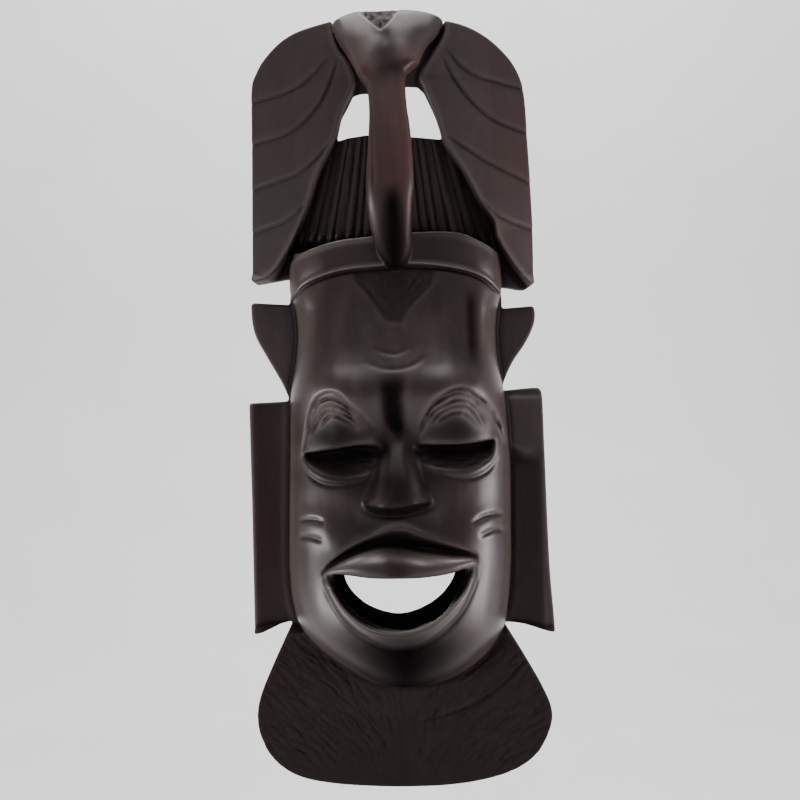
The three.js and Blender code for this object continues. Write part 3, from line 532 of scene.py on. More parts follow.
H += blur(rim_h, 0.55)
mouth_dark = np.zeros(SHAPE)
mouth_dark[wi] = step(0.0, 0.9, si) * step(0.2, -0.7, V[wi] - tv[wi]) * (X[wi] > -37.2) * (X[wi] < 38.2)

# chin: a soft crease where it meets the beard
_, dj, tj, sj = line_field(spline([(-57.1, 120), (-56.1, 94.3), (-51.4, 82.3), (-43.7, 74.0), (-30.9, 65.4), (-16.0, 57.6), (-0.1, 54.6), (15.8, 56.2), (30.9, 61.0), (44.1, 70.2), (52.9, 82.3), (56.4, 97.2)], 8), 0, X[: np.searchsorted(VS, 125)], V[: np.searchsorted(VS, 125)])
H[: np.searchsorted(VS, 125)] -= 1.3 * np.exp(-((dj / 1.0) ** 2)) * mix(0.5, 1.0, step(-20, 30, X[: dj.shape[0]])) * step(86, 80, V[: dj.shape[0]])

soft = blur(H, 0.5)
H = mix(blur(H, 0.22), soft, blur(((T < 1.02) & (V > 56) & (V < 250)).astype(float), 1.0))
brow_break = clamp(0.72 + 0.75 * noise2(5.5, 4.5), 0.12, 1.25)
for b, deep in brow_grooves:
    groove(b, deep, 0.62, fade=(0.2, 0.25), keep=brow_break)

# beard: matte, combed with fine curved strokes, with one longer carved line on the right
on_beard = step(0.5, 3.0, np.where((V > 55) & (T < 1.02), -5.0, 5.0)) if False else ((V < 86) & ~((T < 1.01) & (V > 54.5))).astype(float)
keep_beard = blur(on_beard, 0.6)
groove([(66.3, 69.9), (63.3, 66.9), (53.2, 56.5), (37.3, 45.1), (19.0, 38.3), (5.1, 35.0)], 1.3, 0.85, fade=(0.02, 0.4), keep=keep_beard)
groove([(-66.1, 66.3), (-60, 58.5), (-53.4, 52.4), (-42.0, 45.6)], 0.5, 0.9, fade=(0.05, 0.6), keep=keep_beard)
groove([(38, 66), (30, 52), (18, 41), (6, 33)], 0.45, 0.9, fade=(0.3, 0.4), keep=keep_beard)


def strokes(n, place, depth, half, pad=3, keep=None, target=None):
    dst = H if target is None else target
    for _ in range(n):
        pts, k = place()
        line = spline(pts, 4)
        w, d, t, s = line_field(line, pad)
        if d.size == 0:
            continue
        g = depth * k * np.exp(-((d / half) ** 2)) * ends(t, 0.3, 0.4)
        if keep is not None:
            g = g * keep[w]
        dst[w] -= g


def beard_stroke():
    x0 = rng.uniform(-70, 74)
    v0 = rng.uniform(6, 72)
    # strokes lean outwards from the middle of the chin and curve a little
    ang = math.radians(90 - 52 * np.tanh((x0 - 2) / 24) + rng.normal(0, 8))
    ln = rng.uniform(8, 26)
    bend = rng.normal(0, 1.2) + 1.6 * np.sign(x0)
    dx, dv = math.cos(ang), math.sin(ang)
    mid = (x0 + dx * ln / 2 - dv * bend, v0 + dv * ln / 2 + dx * bend)
    return [(x0, v0), mid, (x0 + dx * ln, v0 + dv * ln)], rng.uniform(0.3, 1.0)


strokes(950, beard_stroke, 0.42, 0.5, keep=keep_beard)


def crown_stroke():
    x0, v0 = rng.uniform(-14, 8), rng.uniform(381, 400)
    return [(x0, v0), (x0 + rng.normal(0, 0.7), v0 - 2.5), (x0 + rng.normal(0, 1.0), v0 - rng.uniform(3, 6))], rng.uniform(0.4, 1)


def eye_stroke():
    side = rng.integers(0, 2)
    x0 = rng.uniform(-46, -13) if side == 0 else rng.uniform(13, 48)
    v0 = rng.uniform(167, 178)
    return [(x0 - 3, v0 - 0.6), (x0, v0), (x0 + rng.uniform(2, 5), v0 - 0.3)], rng.uniform(0.3, 1)


eye_keep = np.zeros(SHAPE)
for k, (x0, x1) in enumerate([(-49.5, -6.5), (7.5, 50.8)]):
    up, lo = lid_v[k](X), low_v[k](X)
    eye_keep += step(x0, x0 + 3, X) * step(x1, x1 - 3, X) * step(-0.5, -1.5, V - up) * step(0.2, 1.2, V - lo)
strokes(90, eye_stroke, 0.45, 0.5, keep=eye_keep)


def brow_stroke():
    b = spline(BROW_CUTS[rng.integers(0, len(BROW_CUTS))], 8)
    i = rng.integers(2, len(b) - 12)
    n = rng.integers(6, 14)
    seg = b[i : i + n : 3] + rng.normal(0, 0.9, 2)
    return seg, rng.uniform(0.3, 1)


strokes(70, brow_stroke, 0.55, 0.42)

# the knife's slow unevenness everywhere, finer on the plain plates
H += 0.16 * noise2(13, 19) + 0.07 * noise2(5, 8)
H = np.maximum(H, 6.5)

gx = np.gradient(H, RES, axis=1)
gv = np.gradient(H, RES, axis=0)
SLOPE = np.sqrt(1 + np.minimum(blur(gx, 0.3) ** 2 + blur(gv, 0.3) ** 2, 9.0))

# ------------------------------------------------------------------ the crest and beak, free of the block
beak_l = curve([(404, 30), (400, 29.4), (394.3, 28.5), (384.5, 25.5), (377.3, 21.6), (368.5, 17.6), (362, 14.6), (358.6, 12.2), (355, 10.8), (346, 10.1), (338, 10.3), (329, 10.9), (314, 12.2), (300, 12.3), (287.4, 10.7), (280, 8.6), (275, 6.4), (271, 3.6), (268.4, 1.2), (264, 0.8)])
beak_r = curve([(404, 31), (400, 29.6), (397, 28.4), (389.8, 25.0), (382.5, 19.8), (375.4, 16.6), (370.3, 14.8), (367.3, 11.9), (364.5, 9.2), (359.5, 8.0), (346, 8.5), (339.3, 9.4), (324.1, 10.6), (308.9, 11.0), (300, 10.0), (287.4, 9.6), (280, 9.6), (275, 8.6), (271, 6.4), (268.4, 3.6), (264, 2)])
beak_f = curve([(405, 29), (402, 33.5), (400, 36.5), (397, 39.5), (393, 42.6), (388, 45.8), (382, 48.8), (374, 52.2), (365, 55.2), (355, 57.4), (340, 59.5), (325, 60.8), (311, 60.9), (303, 60.2), (296, 58.6), (289, 56.2), (283, 53.8), (278, 51.6), (272, 49), (266, 46)])
beak_b = curve([(405, 4), (392, 10), (382, 20), (374, 29), (366, 37), (358, 41), (350, 43.6), (335, 45.8), (320, 46.8), (308, 46.4), (300, 45.0), (294, 43), (287, 39.5), (280, 35), (273, 31), (266, 29)])
notch_poly = [(-15, 405), (-13.8, 397.9), (-10.8, 394), (-8.0, 390.6), (-4.0, 387.2), (-1.2, 389.7), (1.7, 393), (3.2, 396.4), (6.6, 400), (8, 405)]
NOTCH = step(1.0, -0.8, polygon_sdf(notch_poly, 4))
F_ADD = -1.8 * NOTCH * (0.8 + 0.2 * noise2(1.3, 2.0))
w, d, t, s = line_field(spline([(-4.5, 396), (-3.6, 388), (-2.2, 381), (-1.4, 375.5)]), 14)
F_ADD[w] -= 2.0 * np.exp(-((d / mix(4.5, 2.6, t)) ** 2)) * step(1.0, 0.55, t)
strokes(110, crown_stroke, 0.9, 0.5, keep=NOTCH, target=F_ADD)
F_ADD += 1.4 * (bump(X + 15, 8) + bump(X - 14, 8)) * bump(V - 388, 10)  # the two lobes
F_ADD += 0.9 * bump(X - 11, 2.6) * bump(V - 365.5, 3.4)  # a small lump at the root
F_ADD += 0.12 * noise2(9, 14)
F_ADD -= 0.5 * np.exp(-(((X + 8.4) / 0.6) ** 2)) * step(300, 312, V) * step(352, 344, V)  # a scraped line down its left side


def sample(R, x, v):
    fx = np.clip((x - XS[0]) / RES, 0, len(XS) - 1.001)
    fv = np.clip((v - VS[0]) / RES, 0, len(VS) - 1.001)
    ix, iv = fx.astype(np.int32), fv.astype(np.int32)
    tx, tv_ = fx - ix, fv - iv
    return (R[iv, ix] * (1 - tx) + R[iv, ix + 1] * tx) * (1 - tv_) + (R[iv + 1, ix] * (1 - tx) + R[iv + 1, ix + 1] * tx) * tv_


def cut_round(a, b, r):
    """Both shapes' overlap, its edge rounded to radius r."""
    return np.minimum(np.maximum(a, b), -r) + np.sqrt(np.maximum(a + r, 0) ** 2 + np.maximum(b + r, 0) ** 2)


def join(a, b, r):
    h = clamp(0.5 + 0.5 * (b - a) / r)
    return mix(b, a, h) - r * h * (1 - h)


GOUGE = noise2(7, 11)
GOUGE_FINE = noise2(3.2, 5)


def beak_field(x, hgt, v):
    l, r = beak_l(v), beak_r(v)
    f, b = beak_f(v), beak_b(v)
    xc, w = (r - l) / 2, (r + l) / 2
    hc, th = (f + b) / 2, np.maximum(2.0, (f - b) / 2)
    ux = np.abs(x - xc) / w
    add = sample(F_ADD, x, v) * step(-0.2, 0.6, (hgt - hc) / th)
    uh = np.abs(hgt - add - hc) / th
    n = 2.4 + 1.1 * step(285, 300, v) * step(366, 350, v)
    k = (ux**n + uh**n) ** (1 / n)
    d = (k - 1) * np.minimum(w, th) * 0.9
    top = 400.3 - 4.4 * (np.minimum(x, 0) / 28) ** 2 - 2.6 * (np.maximum(x - 4, 0) / 24) ** 3
    d = cut_round(d, v - top, 1.2)
    return cut_round(d, 268.2 - v, 2.5)


MOUTH_C = (0.0, 117.0)


def mouth_field(x, hgt, v):
    """The pierced mouth, opening out to the front."""
    k = 1 + 0.0095 * np.maximum(0, hgt - 35)
    a = x / k
    low = (((np.abs(a) / 28.2) ** 1.75 + (np.abs(np.minimum(0, v - 117.0 - 0.06 * x)) / (20.9 * k)) ** 1.75) ** (1 / 1.75) - 1) * 20.0
    return cut_round(low, (v - sample_top(x)) * 0.96, 0.5)


def field(x, y, v):
    """Below zero inside the wood."""
    hgt = -y
    f = (hgt - sample(H, x, v)) / sample(SLOPE, x, v)
    body = cut_round(sample(D, x, v), f, 1.7)
    widen = 600.0 / np.maximum(560.0, 620.0 - hgt)  # the open work widens towards the back
    body = cut_round(body, -sample(W, x * widen, 203 + (v - 203) * widen), 0.9)
    body = join(body, beak_field(x, hgt, v), 0.8)
    body = cut_round(body, sample(D, x, v), 0.9)
    # hollow behind the face, left from the gouge
    g = 0.55 * sample(GOUGE, x, v) + 0.2 * sample(GOUGE_FINE, x, v)
    cx, cy, cv = np.abs(x) / 43.0, hgt / 39.0, np.abs(v - 138) / 72.0
    hollow = ((cx**2.7 + np.maximum(cy, 0) ** 2.7 + cv**2.7) ** (1 / 2.7) - 1) * 37.0
    hollow = np.maximum(hollow + g, -hgt - 3)
    body = cut_round(body, -hollow, 1.2)
    mouth = mouth_field(x, hgt, v)
    body = cut_round(body, -mouth, 0.8)
    # hanger pocket
    px = np.maximum(np.abs(x) - 8, 0)
    pv = np.maximum(np.abs(v - 235) - 27, 0)
    pocket = np.maximum(np.sqrt(px**2 + pv**2) - 12, hgt - 12)
    body = cut_round(body, -pocket, 0.4)
    return cut_round(body, y, 1.0)


def sample_top(x):
    return top_v(x)


# ------------------------------------------------------------------ surface
STEP = 0.8
gx_ = np.arange(-83, 83.01, STEP)
gy_ = np.arange(-69, 2.5, STEP)
gv_ = np.arange(-3, 403.01, STEP)
vol = np.empty((len(gx_), len(gy_), len(gv_)), np.float32)
for i in range(0, len(gx_), 24):
    vol[i : i + 24] = field(gx_[i : i + 24, None, None], gy_[None, :, None], gv_[None, None, :])
vol = np.clip(vol, -3, 3)
grid = openvdb.FloatGrid(3.0)
grid.copyFromArray(vol)
points, quads = grid.convertToQuads(0.0)
points = np.asarray(points, float) * STEP + np.array([gx_[0], gy_[0], gv_[0]])
quads = np.asarray(quads)[:, ::-1]


def evaluate(p):
    return field(p[:, 0], p[:, 1], p[:, 2])


e = 0.12
for _ in range(3):
    f = evaluate(points)
    g = np.stack([evaluate(points + d) - evaluate(points - d) for d in np.eye(3) * e], 1) / (2 * e)
    n2 = np.maximum((g**2).sum(1), 0.09)
    move = -(f / n2)[:, None] * g
    ln = np.linalg.norm(move, axis=1)
    move *= np.minimum(1, 0.45 / np.maximum(ln, 1e-9))[:, None]
    points = points + move

mesh = bpy.data.meshes.new("mask_wood")
out = points.copy()
out[:, 2] -= LEAN * out[:, 0]
out[:, 2] -= ORIGIN_V
out /= 1000.0
mesh.vertices.add(len(out))
mesh.vertices.foreach_set("co", out.astype(np.float32).ravel())
mesh.loops.add(len(quads) * 4)
mesh.loops.foreach_set("vertex_index", quads.astype(np.int32).ravel())
mesh.polygons.add(len(quads))
mesh.polygons.foreach_set("loop_start", np.arange(0, len(quads) * 4, 4, dtype=np.int32))
mesh.polygons.foreach_set("loop_total", np.full(len(quads), 4, dtype=np.int32))
mesh.update(calc_edges=True)
mesh.validate()
mesh.polygons.foreach_set("use_smooth", np.ones(len(mesh.polygons), bool))
mask = bpy.data.objects.new("mask_wood", mesh)
bpy.context.scene.collection.objects.link(mask)
print("mask_wood", len(points), "points", len(quads), "quads")

# what the finish and the painted light depend on: polish, redness that is partly painted reflection, wear with painted
# sheen, and painted shade with darker tone, kept on the points
px, py, pv = points.T
polished = ((T < 1.0) & (V > 54) & (V < 289)).astype(float)
polished = np.maximum(polished, band_m * 0.8)
polished = polished * (1 - 0.85 * hair_m)
brow_zone = np.zeros(SHAPE)
for b in BROW_CUTS:
    w, d, t, s = line_field(spline(b, 6), 5)
    brow_zone[w] = np.maximum(brow_zone[w], np.exp(-((d / 1.9) ** 2)))
polished *= 1 - 0.6 * brow_zone
polished *= 1 - 0.75 * clamp(eye_keep)
satin = 0.35 * step(-1, 1, in_wing) * (V > 258) + 0.3 * ((V > 82) & (V < 256) & (T >= 1))
polish = blur(np.maximum(polished, satin), 0.8)
pol = sample(polish, px, pv)
on_beak = (beak_field(px, -py, pv) < 0.6) & (pv > 268)
crest_front = step(9, 4, beak_f(pv) + py)  # 1 on the crest's front, 0 on its top and behind
pol = np.where(on_beak, mix(0.5, 1.0 - 0.9 * sample(NOTCH, px, pv), crest_front), pol)
pol = np.where(py > -0.6, 0.12, pol)
inside_cut = (py > -40) & (((np.abs(px) / 43) ** 2.7 + (-py / 39).clip(0) ** 2.7 + (np.abs(pv - 138) / 72) ** 2.7) < 1.08)
pol = np.where(inside_cut, 0.05, pol)
pol = np.where(on_beak, np.minimum(pol, 0.72), pol)
in_mouth = (np.abs(mouth_field(px, -py, pv)) < 1.3) & (-py < sample(H, px, pv) - 1.4) & (py < -14)
front = step(6.0, 3.0, sample(H, px, pv) + py) * (py < -4) * ~inside_cut  # 1 on the carved face, 0 on the sides, the back and in the hollow
pol = np.where(in_mouth, 0.05, pol)
lap = blur(H, 0.5) - blur(H, 1.6)
wear_and_sheen = clamp(sample(lap, px, pv) * 1.6) * (py < -3)
red = clamp(0.35 + 0.4 * sample(noise2(24, 60), px, pv))
# the beak's redder, lighter colour is partly its own tone and partly painted light for its upward-tilted front
red = np.where(on_beak, mix(1.8 + 0.7 * step(2, 9, px), red, step(370, 388, pv)), red)
red = red + 0.5 * bump(px - 62, 14) * (pv > 262) + 0.9 * bump(px - 0, 6) * bump(pv - 125, 6)
# the reddish patch on the forehead's right is a painted reflection; the left flap's redder outer edge is partly a
# painted highlight on its rolled edge
red = red + 0.6 * bump(px - 46, 9) * bump(pv - 235, 28) + 0.5 * bump(px + 70, 7) * bump(pv - 140, 60) + 0.4 * bump(px - 30, 12) * bump(pv - 158, 8)
# painted shade darkens concave creases and recesses; the same attribute also carries the darker tone of the cap, hair
# patch and beard
shade_and_dark_tone = clamp(-sample(lap, px, pv) * 1.3) * 0.6 * front
# painted shade on the chin's downward-facing front
chin = front * bump(px - 2, 22) * step(99, 79, pv) * (sample(T, px, pv) < 1.01) * (pv > 54)
# painted shade on the beak's tip, where it curls down toward the band
tip = bump(px - 0.4, mix(3.4, 8.0, step(304, 278, pv))) * step(311, 299, pv) * step(-30, -36, py)
shade = np.zeros(SHAPE)
for k, (x0, x1) in enumerate([(-49.5, -6.5), (7.5, 50.8)]):
    up, lo = lid_v[k](X), low_v[k](X)
    shade += step(x0, x0 + 4, X) * step(x1, x1 - 3, X) * step(0.6, -0.2, V - up) * clamp((V - lo + 1.5) / np.maximum(4, up - lo + 1.5)) ** 0.7
shade += 0.95 * furrow_dark
shade += 0.85 * np.exp(-(((V - base_v - 0.7) / 2.3) ** 2)) * step(19.5, 16.5, AX)
shade += 0.58 * nose_m * step(195, 178, V)
shade += 0.7 * bump(X + 28, 16) * bump(V - 163, 4.5) + 0.4 * bump(X - 33, 14) * bump(V - 166.5, 4)
shade += 0.85 * (bump(X + 8.1, 2.4) + bump(X - 9.9, 2.4)) * bump(V - 179, 3)
shade += 0.4 * bump(X + 39, 8) * bump(V - 185, 8)
shade += 0.7 * np.exp(-(((X - 38.6) / 2.7) ** 2)) * step(216, 232, V) * step(262, 250, V)
shade += 0.5 * bump(X + 0.5, 4.6) * bump(V - 124, 5)
shade += mouth_dark
shade += 0.64 * (bump(X + 29, 14) * bump(V - 185, 8) + bump(X - 32, 14) * bump(V - 187, 8)) * (1 - clamp(brow_zone))
shade += 0.9 * in_lip * step(-0.4, 0.6, V - rv) * clamp(1.15 - (V - rv) / A) * cent
shade_and_dark_tone = np.maximum(shade_and_dark_tone, 0.95 * front * clamp(sample(blur(shade, 0.4), px, pv)))
# painted shade: the mouth's inner wall is made black
shade_and_dark_tone = np.maximum(shade_and_dark_tone, np.where(in_mouth, 1.0, 0.0))
cap_dark = front * (0.45 * sample(blur(on_cap, 0.8), px, pv) + 0.55 * sample(hair_m, px, pv))
shade_and_dark_tone = np.maximum(shade_and_dark_tone, 0.6 * front * sample(keep_beard, px, pv))
shade_and_dark_tone = np.maximum(shade_and_dark_tone, 0.24 * front * (pv > 258) * step(-2, 2, sample(in_wing, px, pv)) * (px < 0))
shade_and_dark_tone = np.where(on_beak, 0.97 * tip, np.maximum(np.maximum(shade_and_dark_tone, cap_dark), 0.98 * chin))
brow_wear = 1 + 2.8 * sample(blur(brow_zone, 0.6), px, pv)
PLANE_L = [(-31, 394), (-24, 397), (-17, 398), (-14, 392), (-8.5, 387.5), (-4.5, 383), (-9, 373), (-15, 364), (-21, 367), (-29, 384)]
PLANE_R = [(8, 398.6), (26, 398.6), (29, 394), (22, 379.5), (13, 370), (6.5, 375), (2.0, 384), (1.5, 390), (4, 395)]
planes = np.maximum(step(2.0, -1.6, polygon_sdf(PLANE_L, 4)), 0.8 * step(3.2, -2.4, polygon_sdf(PLANE_R, 4)))
# painted sheen: the crest's lobe planes are lightened as if catching the light from above
crown = sample(blur(planes, 0.8), px, pv) * on_beak * crest_front
# painted shade in the middle of the crest, between the lobes
middle = on_beak * bump(px + 1.0, 7.0) * step(350, 366, pv) * step(391, 385, pv) * (py < -30) * (1 - 0.8 * crown)
shade_and_dark_tone = np.maximum(shade_and_dark_tone, 0.66 * middle)
# on the beak only the painted sheen of the lobe planes; elsewhere lighter wear on rubbed convex edges
wear_and_sheen = np.where(on_beak, 0.4 * crown, front * clamp(wear_and_sheen * brow_wear * (0.3 + 0.7 * pol)))
for name, data in (("polish", pol), ("wear_and_sheen", wear_and_sheen), ("red", red), ("shade_and_dark_tone", shade_and_dark_tone)):
    a = mesh.attributes.new(name, "FLOAT", "POINT")
    a.data.foreach_set("value", np.asarray(data, np.float32))


# ------------------------------------------------------------------ materials
def material(name):
    m = bpy.data.materials.new(name)
    m.use_nodes = True
    nt = m.node_tree
    bsdf = nt.nodes["Principled BSDF"]
    return m, nt, bsdf


def node(nt, kind, **values):
    n = nt.nodes.new(kind)
    for k, v in values.items():
        if k in n.inputs.keys():
            n.inputs[k].default_value = v
        else:
            setattr(n, k, v)
    return n


def ramp(nt, source, stops):
    r = nt.nodes.new("ShaderNodeValToRGB")
    while len(r.color_ramp.elements) < len(stops):
        r.color_ramp.elements.new(0.5)
    for e_, (pos, col) in zip(r.color_ramp.elements, stops):
        e_.position = pos
        e_.color = (*col, 1) if len(col) == 3 else col
    nt.links.new(source, r.inputs[0])
    return r.outputs[0]


def grey(a):
    return (a, a, a)


def blend_colour(nt, fac, a, b, mode="MIX"):
    n = nt.nodes.new("ShaderNodeMix")
    n.data_type = "RGBA"
    n.blend_type = mode
    for sock, val in ((n.inputs[0], fac), (n.inputs[6], a), (n.inputs[7], b)):
        if hasattr(val, "links"):
            nt.links.new(val, sock)
        else:
            sock.default_value = val if not isinstance(val, tuple) else (*val, 1)
    return n.outputs[2]


def math_node(nt, op, a, b):
    n = nt.nodes.new("ShaderNodeMath")
    n.operation = op
    for sock, val in ((n.inputs[0], a), (n.inputs[1], b)):
        if hasattr(val, "links"):
            nt.links.new(val, sock)
        else:
            sock.default_value = val
    return n.outputs[0]


def attr(nt, name):
    n = nt.nodes.new("ShaderNodeAttribute")
    n.attribute_name = name
    return n.outputs["Fac"]


def coords(nt, scale=(1, 1, 1)):
    tc = nt.nodes.new("ShaderNodeTexCoord")
    mp = nt.nodes.new("ShaderNodeMapping")
    mp.inputs["Scale"].default_value = scale
    nt.links.new(tc.outputs["Object"], mp.inputs["Vector"])
    return mp.outputs[0]


def noise(nt, vec, scale, detail=4, rough=0.5):
    n = nt.nodes.new("ShaderNodeTexNoise")
    n.inputs["Scale"].default_value = scale
    n.inputs["Detail"].default_value = detail
    n.inputs["Roughness"].default_value = rough
    nt.links.new(vec, n.inputs["Vector"])
    return n.outputs["Fac"]


wood, nt, bsdf = material("dark_carved_wood")
along = coords(nt, (1, 1, 0.06))
plain = coords(nt)
grain = noise(nt, along, 900, 3, 0.6)
streak = noise(nt, coords(nt, (1, 1, 0.12)), 130, 4, 0.55)
cloud = noise(nt, plain, 22, 4, 0.55)
speck = noise(nt, plain, 1400, 2, 0.5)
polish_a, wear_and_sheen_a, red_a = attr(nt, "polish"), attr(nt, "wear_and_sheen"), attr(nt, "red")
shade_and_dark_tone_a = attr(nt, "shade_and_dark_tone")
shiny = ramp(nt, streak, [(0.3, (0.0085, 0.0057, 0.0060)), (0.55, (0.0125, 0.0078, 0.0081)), (0.8, (0.018, 0.0105, 0.0105))])
dull = ramp(nt, streak, [(0.3, (0.0325, 0.0222, 0.0232)), (0.55, (0.035, 0.0238, 0.0247)), (0.8, (0.038, 0.0255, 0.0262))])
dark = blend_colour(nt, ramp(nt, polish_a, [(0.1, grey(0.0)), (0.8, grey(1.0))]), dull, shiny)
redder = ramp(nt, streak, [(0.25, (0.032, 0.013, 0.0125)), (0.6, (0.046, 0.0185, 0.0175)), (0.85, (0.060, 0.0235, 0.0215))])
redness = math_node(nt, "MULTIPLY", red_a, cloud)
base = blend_colour(nt, math_node(nt, "MULTIPLY", redness, 0.95), dark, redder)
pores = ramp(nt, grain, [(0.36, grey(0.55)), (0.5, grey(1.0))])
base = blend_colour(nt, 0.3, base, pores, "MULTIPLY")
dusty = ramp(nt, noise(nt, coords(nt, (1, 1, 0.5)), 190, 5, 0.7), [(0.48, grey(0.0)), (0.74, grey(0.16))])
dusty = math_node(nt, "MULTIPLY", dusty, ramp(nt, polish_a, [(0.0, grey(1.0)), (0.4, grey(0.0))]))
base = blend_colour(nt, dusty, base, (0.085, 0.076, 0.070))
# lighter colour for wear on rubbed edges and for the painted sheen on the crest lobes
surface_colour = blend_colour(nt, math_node(nt, "MULTIPLY", wear_and_sheen_a, 0.5), base, (0.11, 0.086, 0.078))
# near-black blend: painted shade in creases, recesses, the mouth, the chin and the beak tip, and the darker tone of
# the cap, hair patch and beard
surface_colour = blend_colour(nt, shade_and_dark_tone_a, surface_colour, (0.0028, 0.0024, 0.0024))
nt.links.new(surface_colour, bsdf.inputs["Base Color"])
rough_lo = ramp(nt, polish_a, [(0.0, grey(0.78)), (0.35, grey(0.56)), (0.75, grey(0.4)), (1.0, grey(0.32))])
smear = ramp(nt, noise(nt, plain, 85, 8, 0.68), [(0.3, grey(-0.1)), (0.7, grey(0.1))])
rough = math_node(nt, "ADD", rough_lo, smear)
rough = math_node(nt, "ADD", rough, math_node(nt, "MULTIPLY", math_node(nt, "SUBTRACT", streak, 0.5), 0.24))
nt.links.new(rough, bsdf.inputs["Roughness"])
bsdf.inputs["IOR"].default_value = 1.5
bsdf.inputs["Coat Roughness"].default_value = 0.3
coat = ramp(nt, polish_a, [(0.5, grey(0.0)), (1.0, grey(0.2))])
coat = math_node(nt, "MULTIPLY", coat, ramp(nt, shade_and_dark_tone_a, [(0.1, grey(1.0)), (0.7, grey(0.0))]))
nt.links.new(coat, bsdf.inputs["Coat Weight"])
level = ramp(nt, shade_and_dark_tone_a, [(0.0, grey(0.5)), (0.6, grey(0.14)), (1.0, grey(0.0))])
nt.links.new(level, bsdf.inputs["Specular IOR Level"])
bsdf.inputs["Specular Tint"].default_value = (1.0, 0.89, 0.9, 1.0)
fine = math_node(nt, "ADD", math_node(nt, "MULTIPLY", grain, 0.6), math_node(nt, "MULTIPLY", speck, 0.4))
b1 = nt.nodes.new("ShaderNodeBump")
b1.inputs["Distance"].default_value = 0.00018
matte = ramp(nt, polish_a, [(0.0, grey(0.85)), (0.5, grey(0.4)), (1.0, grey(0.2))])
nt.links.new(matte, b1.inputs["Strength"])
nt.links.new(fine, b1.inputs["Height"])
b2 = nt.nodes.new("ShaderNodeBump")
b2.inputs["Distance"].default_value = 0.0006
b2.inputs["Strength"].default_value = 0.26
scraped = noise(nt, coords(nt, (1, 1, 0.14)), 260, 4, 0.6)
dents = noise(nt, plain, 75, 3, 0.5)
tooled = math_node(nt, "ADD", math_node(nt, "MULTIPLY", dents, 0.7), math_node(nt, "MULTIPLY", scraped, 0.3))
nt.links.new(tooled, b2.inputs["Height"])
nt.links.new(b1.outputs[0], b2.inputs["Normal"])
nt.links.new(b2.outputs[0], bsdf.inputs["Normal"])
mesh.materials.append(wood)


def metal(name, stops, rough_range, scale=240.0):
    m, t, b = material(name)
    v = coords(t)
    stain = noise(t, v, scale, 5, 0.6)
    col = ramp(t, stain, stops)
    t.links.new(col, b.inputs["Base Color"])
    b.inputs["Metallic"].default_value = 1.0
    r = ramp(t, noise(t, v, scale * 2.3, 4, 0.6), [(0.3, grey(rough_range[0])), (0.7, grey(rough_range[1]))])
    t.links.new(r, b.inputs["Roughness"])
    bm = t.nodes.new("ShaderNodeBump")
    bm.inputs["Distance"].default_value = 0.00005
    bm.inputs["Strength"].default_value = 0.35
    t.links.new(noise(t, coords(t, (1, 1, 6)), scale * 6, 2, 0.5), bm.inputs["Height"])
    t.links.new(bm.outputs[0], b.inputs["Normal"])
    return m


brass = metal("aged_brass_plate", [(0.3, (0.2, 0.13, 0.055)), (0.5, (0.52, 0.37, 0.16)), (0.75, (0.66, 0.5, 0.25))], (0.28, 0.5))
steel = metal("zinc_screw", [(0.3, (0.22, 0.21, 0.2)), (0.6, (0.5, 0.5, 0.48)), (0.8, (0.62, 0.62, 0.6))], (0.3, 0.55))
for n, m in (("hanger_strap", brass), ("hanger_ring", brass), ("hanger_screw_upper", steel), ("hanger_screw_lower", steel)):
    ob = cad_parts[n]
    for slot in ob.material_slots:
        slot.material = m

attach(mask, "mask")
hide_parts("mask_body")

# ------------------------------------------------------------------ pale sweep, soft light
FLOOR_Z = cad_box[0][2] - 0.25
profile = [(-2.2, 0.0), (0.9, 0.0)]
R_SWEEP = 0.7
for i in range(1, 25):
    a = math.pi / 2 * i / 24
    profile.append((0.9 + R_SWEEP * math.sin(a), R_SWEEP * (1 - math.cos(a))))
profile.append((0.9 + R_SWEEP, 3.2))
verts, faces = [], []
for yy, zz in profile:
    verts += [(-3.2, yy, FLOOR_Z + zz), (3.2, yy, FLOOR_Z + zz)]
for i in range(len(profile) - 1):
    faces.append((2 * i, 2 * i + 1, 2 * i + 3, 2 * i + 2))
sweep_mesh = bpy.data.meshes.new("floor")
sweep_mesh.from_pydata(verts, [], faces)
for p in sweep_mesh.polygons:
    p.use_smooth = True
sweep = bpy.data.objects.new("floor", sweep_mesh)
bpy.context.scene.collection.objects.link(sweep)
fm, ft, fb = material("pale_floor")
fb.inputs["Roughness"].default_value = 0.9
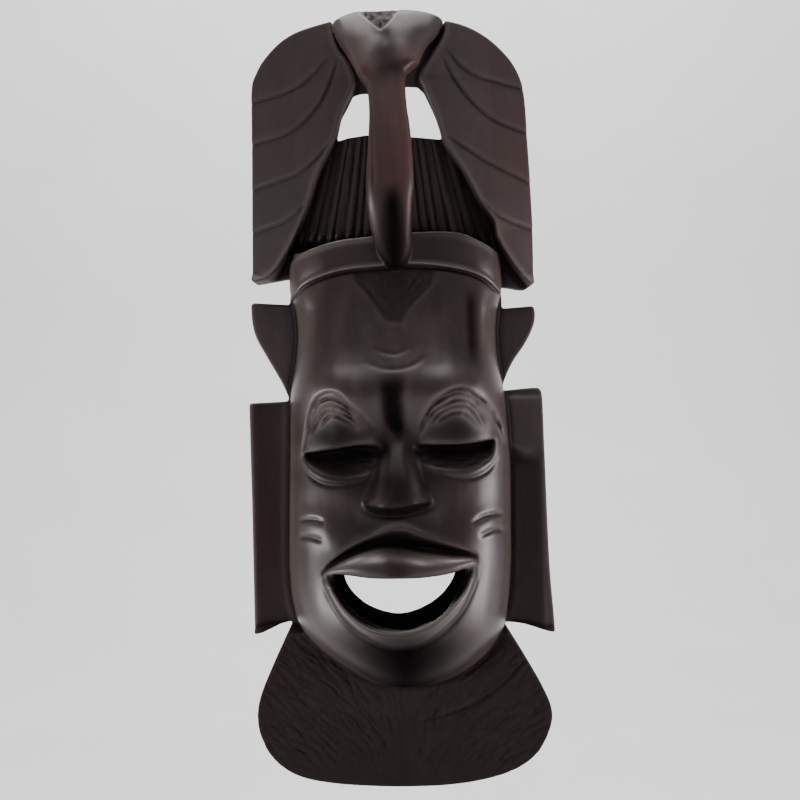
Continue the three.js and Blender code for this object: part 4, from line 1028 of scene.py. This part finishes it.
ft.links.new(ramp(ft, noise(ft, coords(ft), 6, 3, 0.5), [(0.3, (0.79, 0.785, 0.78)), (0.7, (0.82, 0.815, 0.81))]), fb.inputs["Base Color"])
sweep_mesh.materials.append(fm)

world = bpy.data.worlds.new("world")
bpy.context.scene.world = world
world.use_nodes = True
wt = world.node_tree
wc = wt.nodes.new("ShaderNodeTexCoord")
ws = wt.nodes.new("ShaderNodeSeparateXYZ")
wt.links.new(wc.outputs["Generated"], ws.inputs[0])
parts = []
for axis, lo_, hi_, a_, b_ in (("Y", -0.2, 1.0, 0.17, 0.62), ("Z", -0.1, 1.0, 0.0, 0.34)):
    wm = wt.nodes.new("ShaderNodeMapRange")
    wm.inputs["From Min"].default_value = lo_
    wm.inputs["From Max"].default_value = hi_
    wm.inputs["To Min"].default_value = a_
    wm.inputs["To Max"].default_value = b_
    wt.links.new(ws.outputs[axis], wm.inputs["Value"])
    parts.append(wm.outputs[0])
wadd = wt.nodes.new("ShaderNodeMath")
wadd.operation = "ADD"
wt.links.new(parts[0], wadd.inputs[0])
wt.links.new(parts[1], wadd.inputs[1])
wt.links.new(wadd.outputs[0], wt.nodes["Background"].inputs[1])
wt.nodes["Background"].inputs[0].default_value = (0.83, 0.83, 0.825, 1)


def area(name, loc, target, size, power, colour=(1, 1, 1)):
    d = bpy.data.lights.new(name, "AREA")
    d.shape = "RECTANGLE"
    d.size, d.size_y = size
    d.energy = power
    d.color = colour
    o = bpy.data.objects.new(name, d)
    o.location = loc
    o.rotation_euler = (Vector(target) - Vector(loc)).to_track_quat("-Z", "Y").to_euler()
    bpy.context.scene.collection.objects.link(o)
    return o


mid = (0, -0.03, -0.1)
area("top", (-0.08, -0.38, 1.15), (0, -0.03, 0.02), (1.1, 0.6), 13, (1.0, 0.995, 0.985))
area("left", (-1.05, -0.42, -0.36), (0, -0.03, -0.2), (0.75, 0.32), 9.6, (0.95, 1.0, 0.975))
area("right", (1.12, -0.22, -0.28), (0, -0.03, -0.18), (0.5, 0.45), 9.0, (1.0, 0.965, 0.97))
area("wash", (0.0, 0.55, 1.5), (0, 1.3, -0.2), (2.4, 0.5), 50)
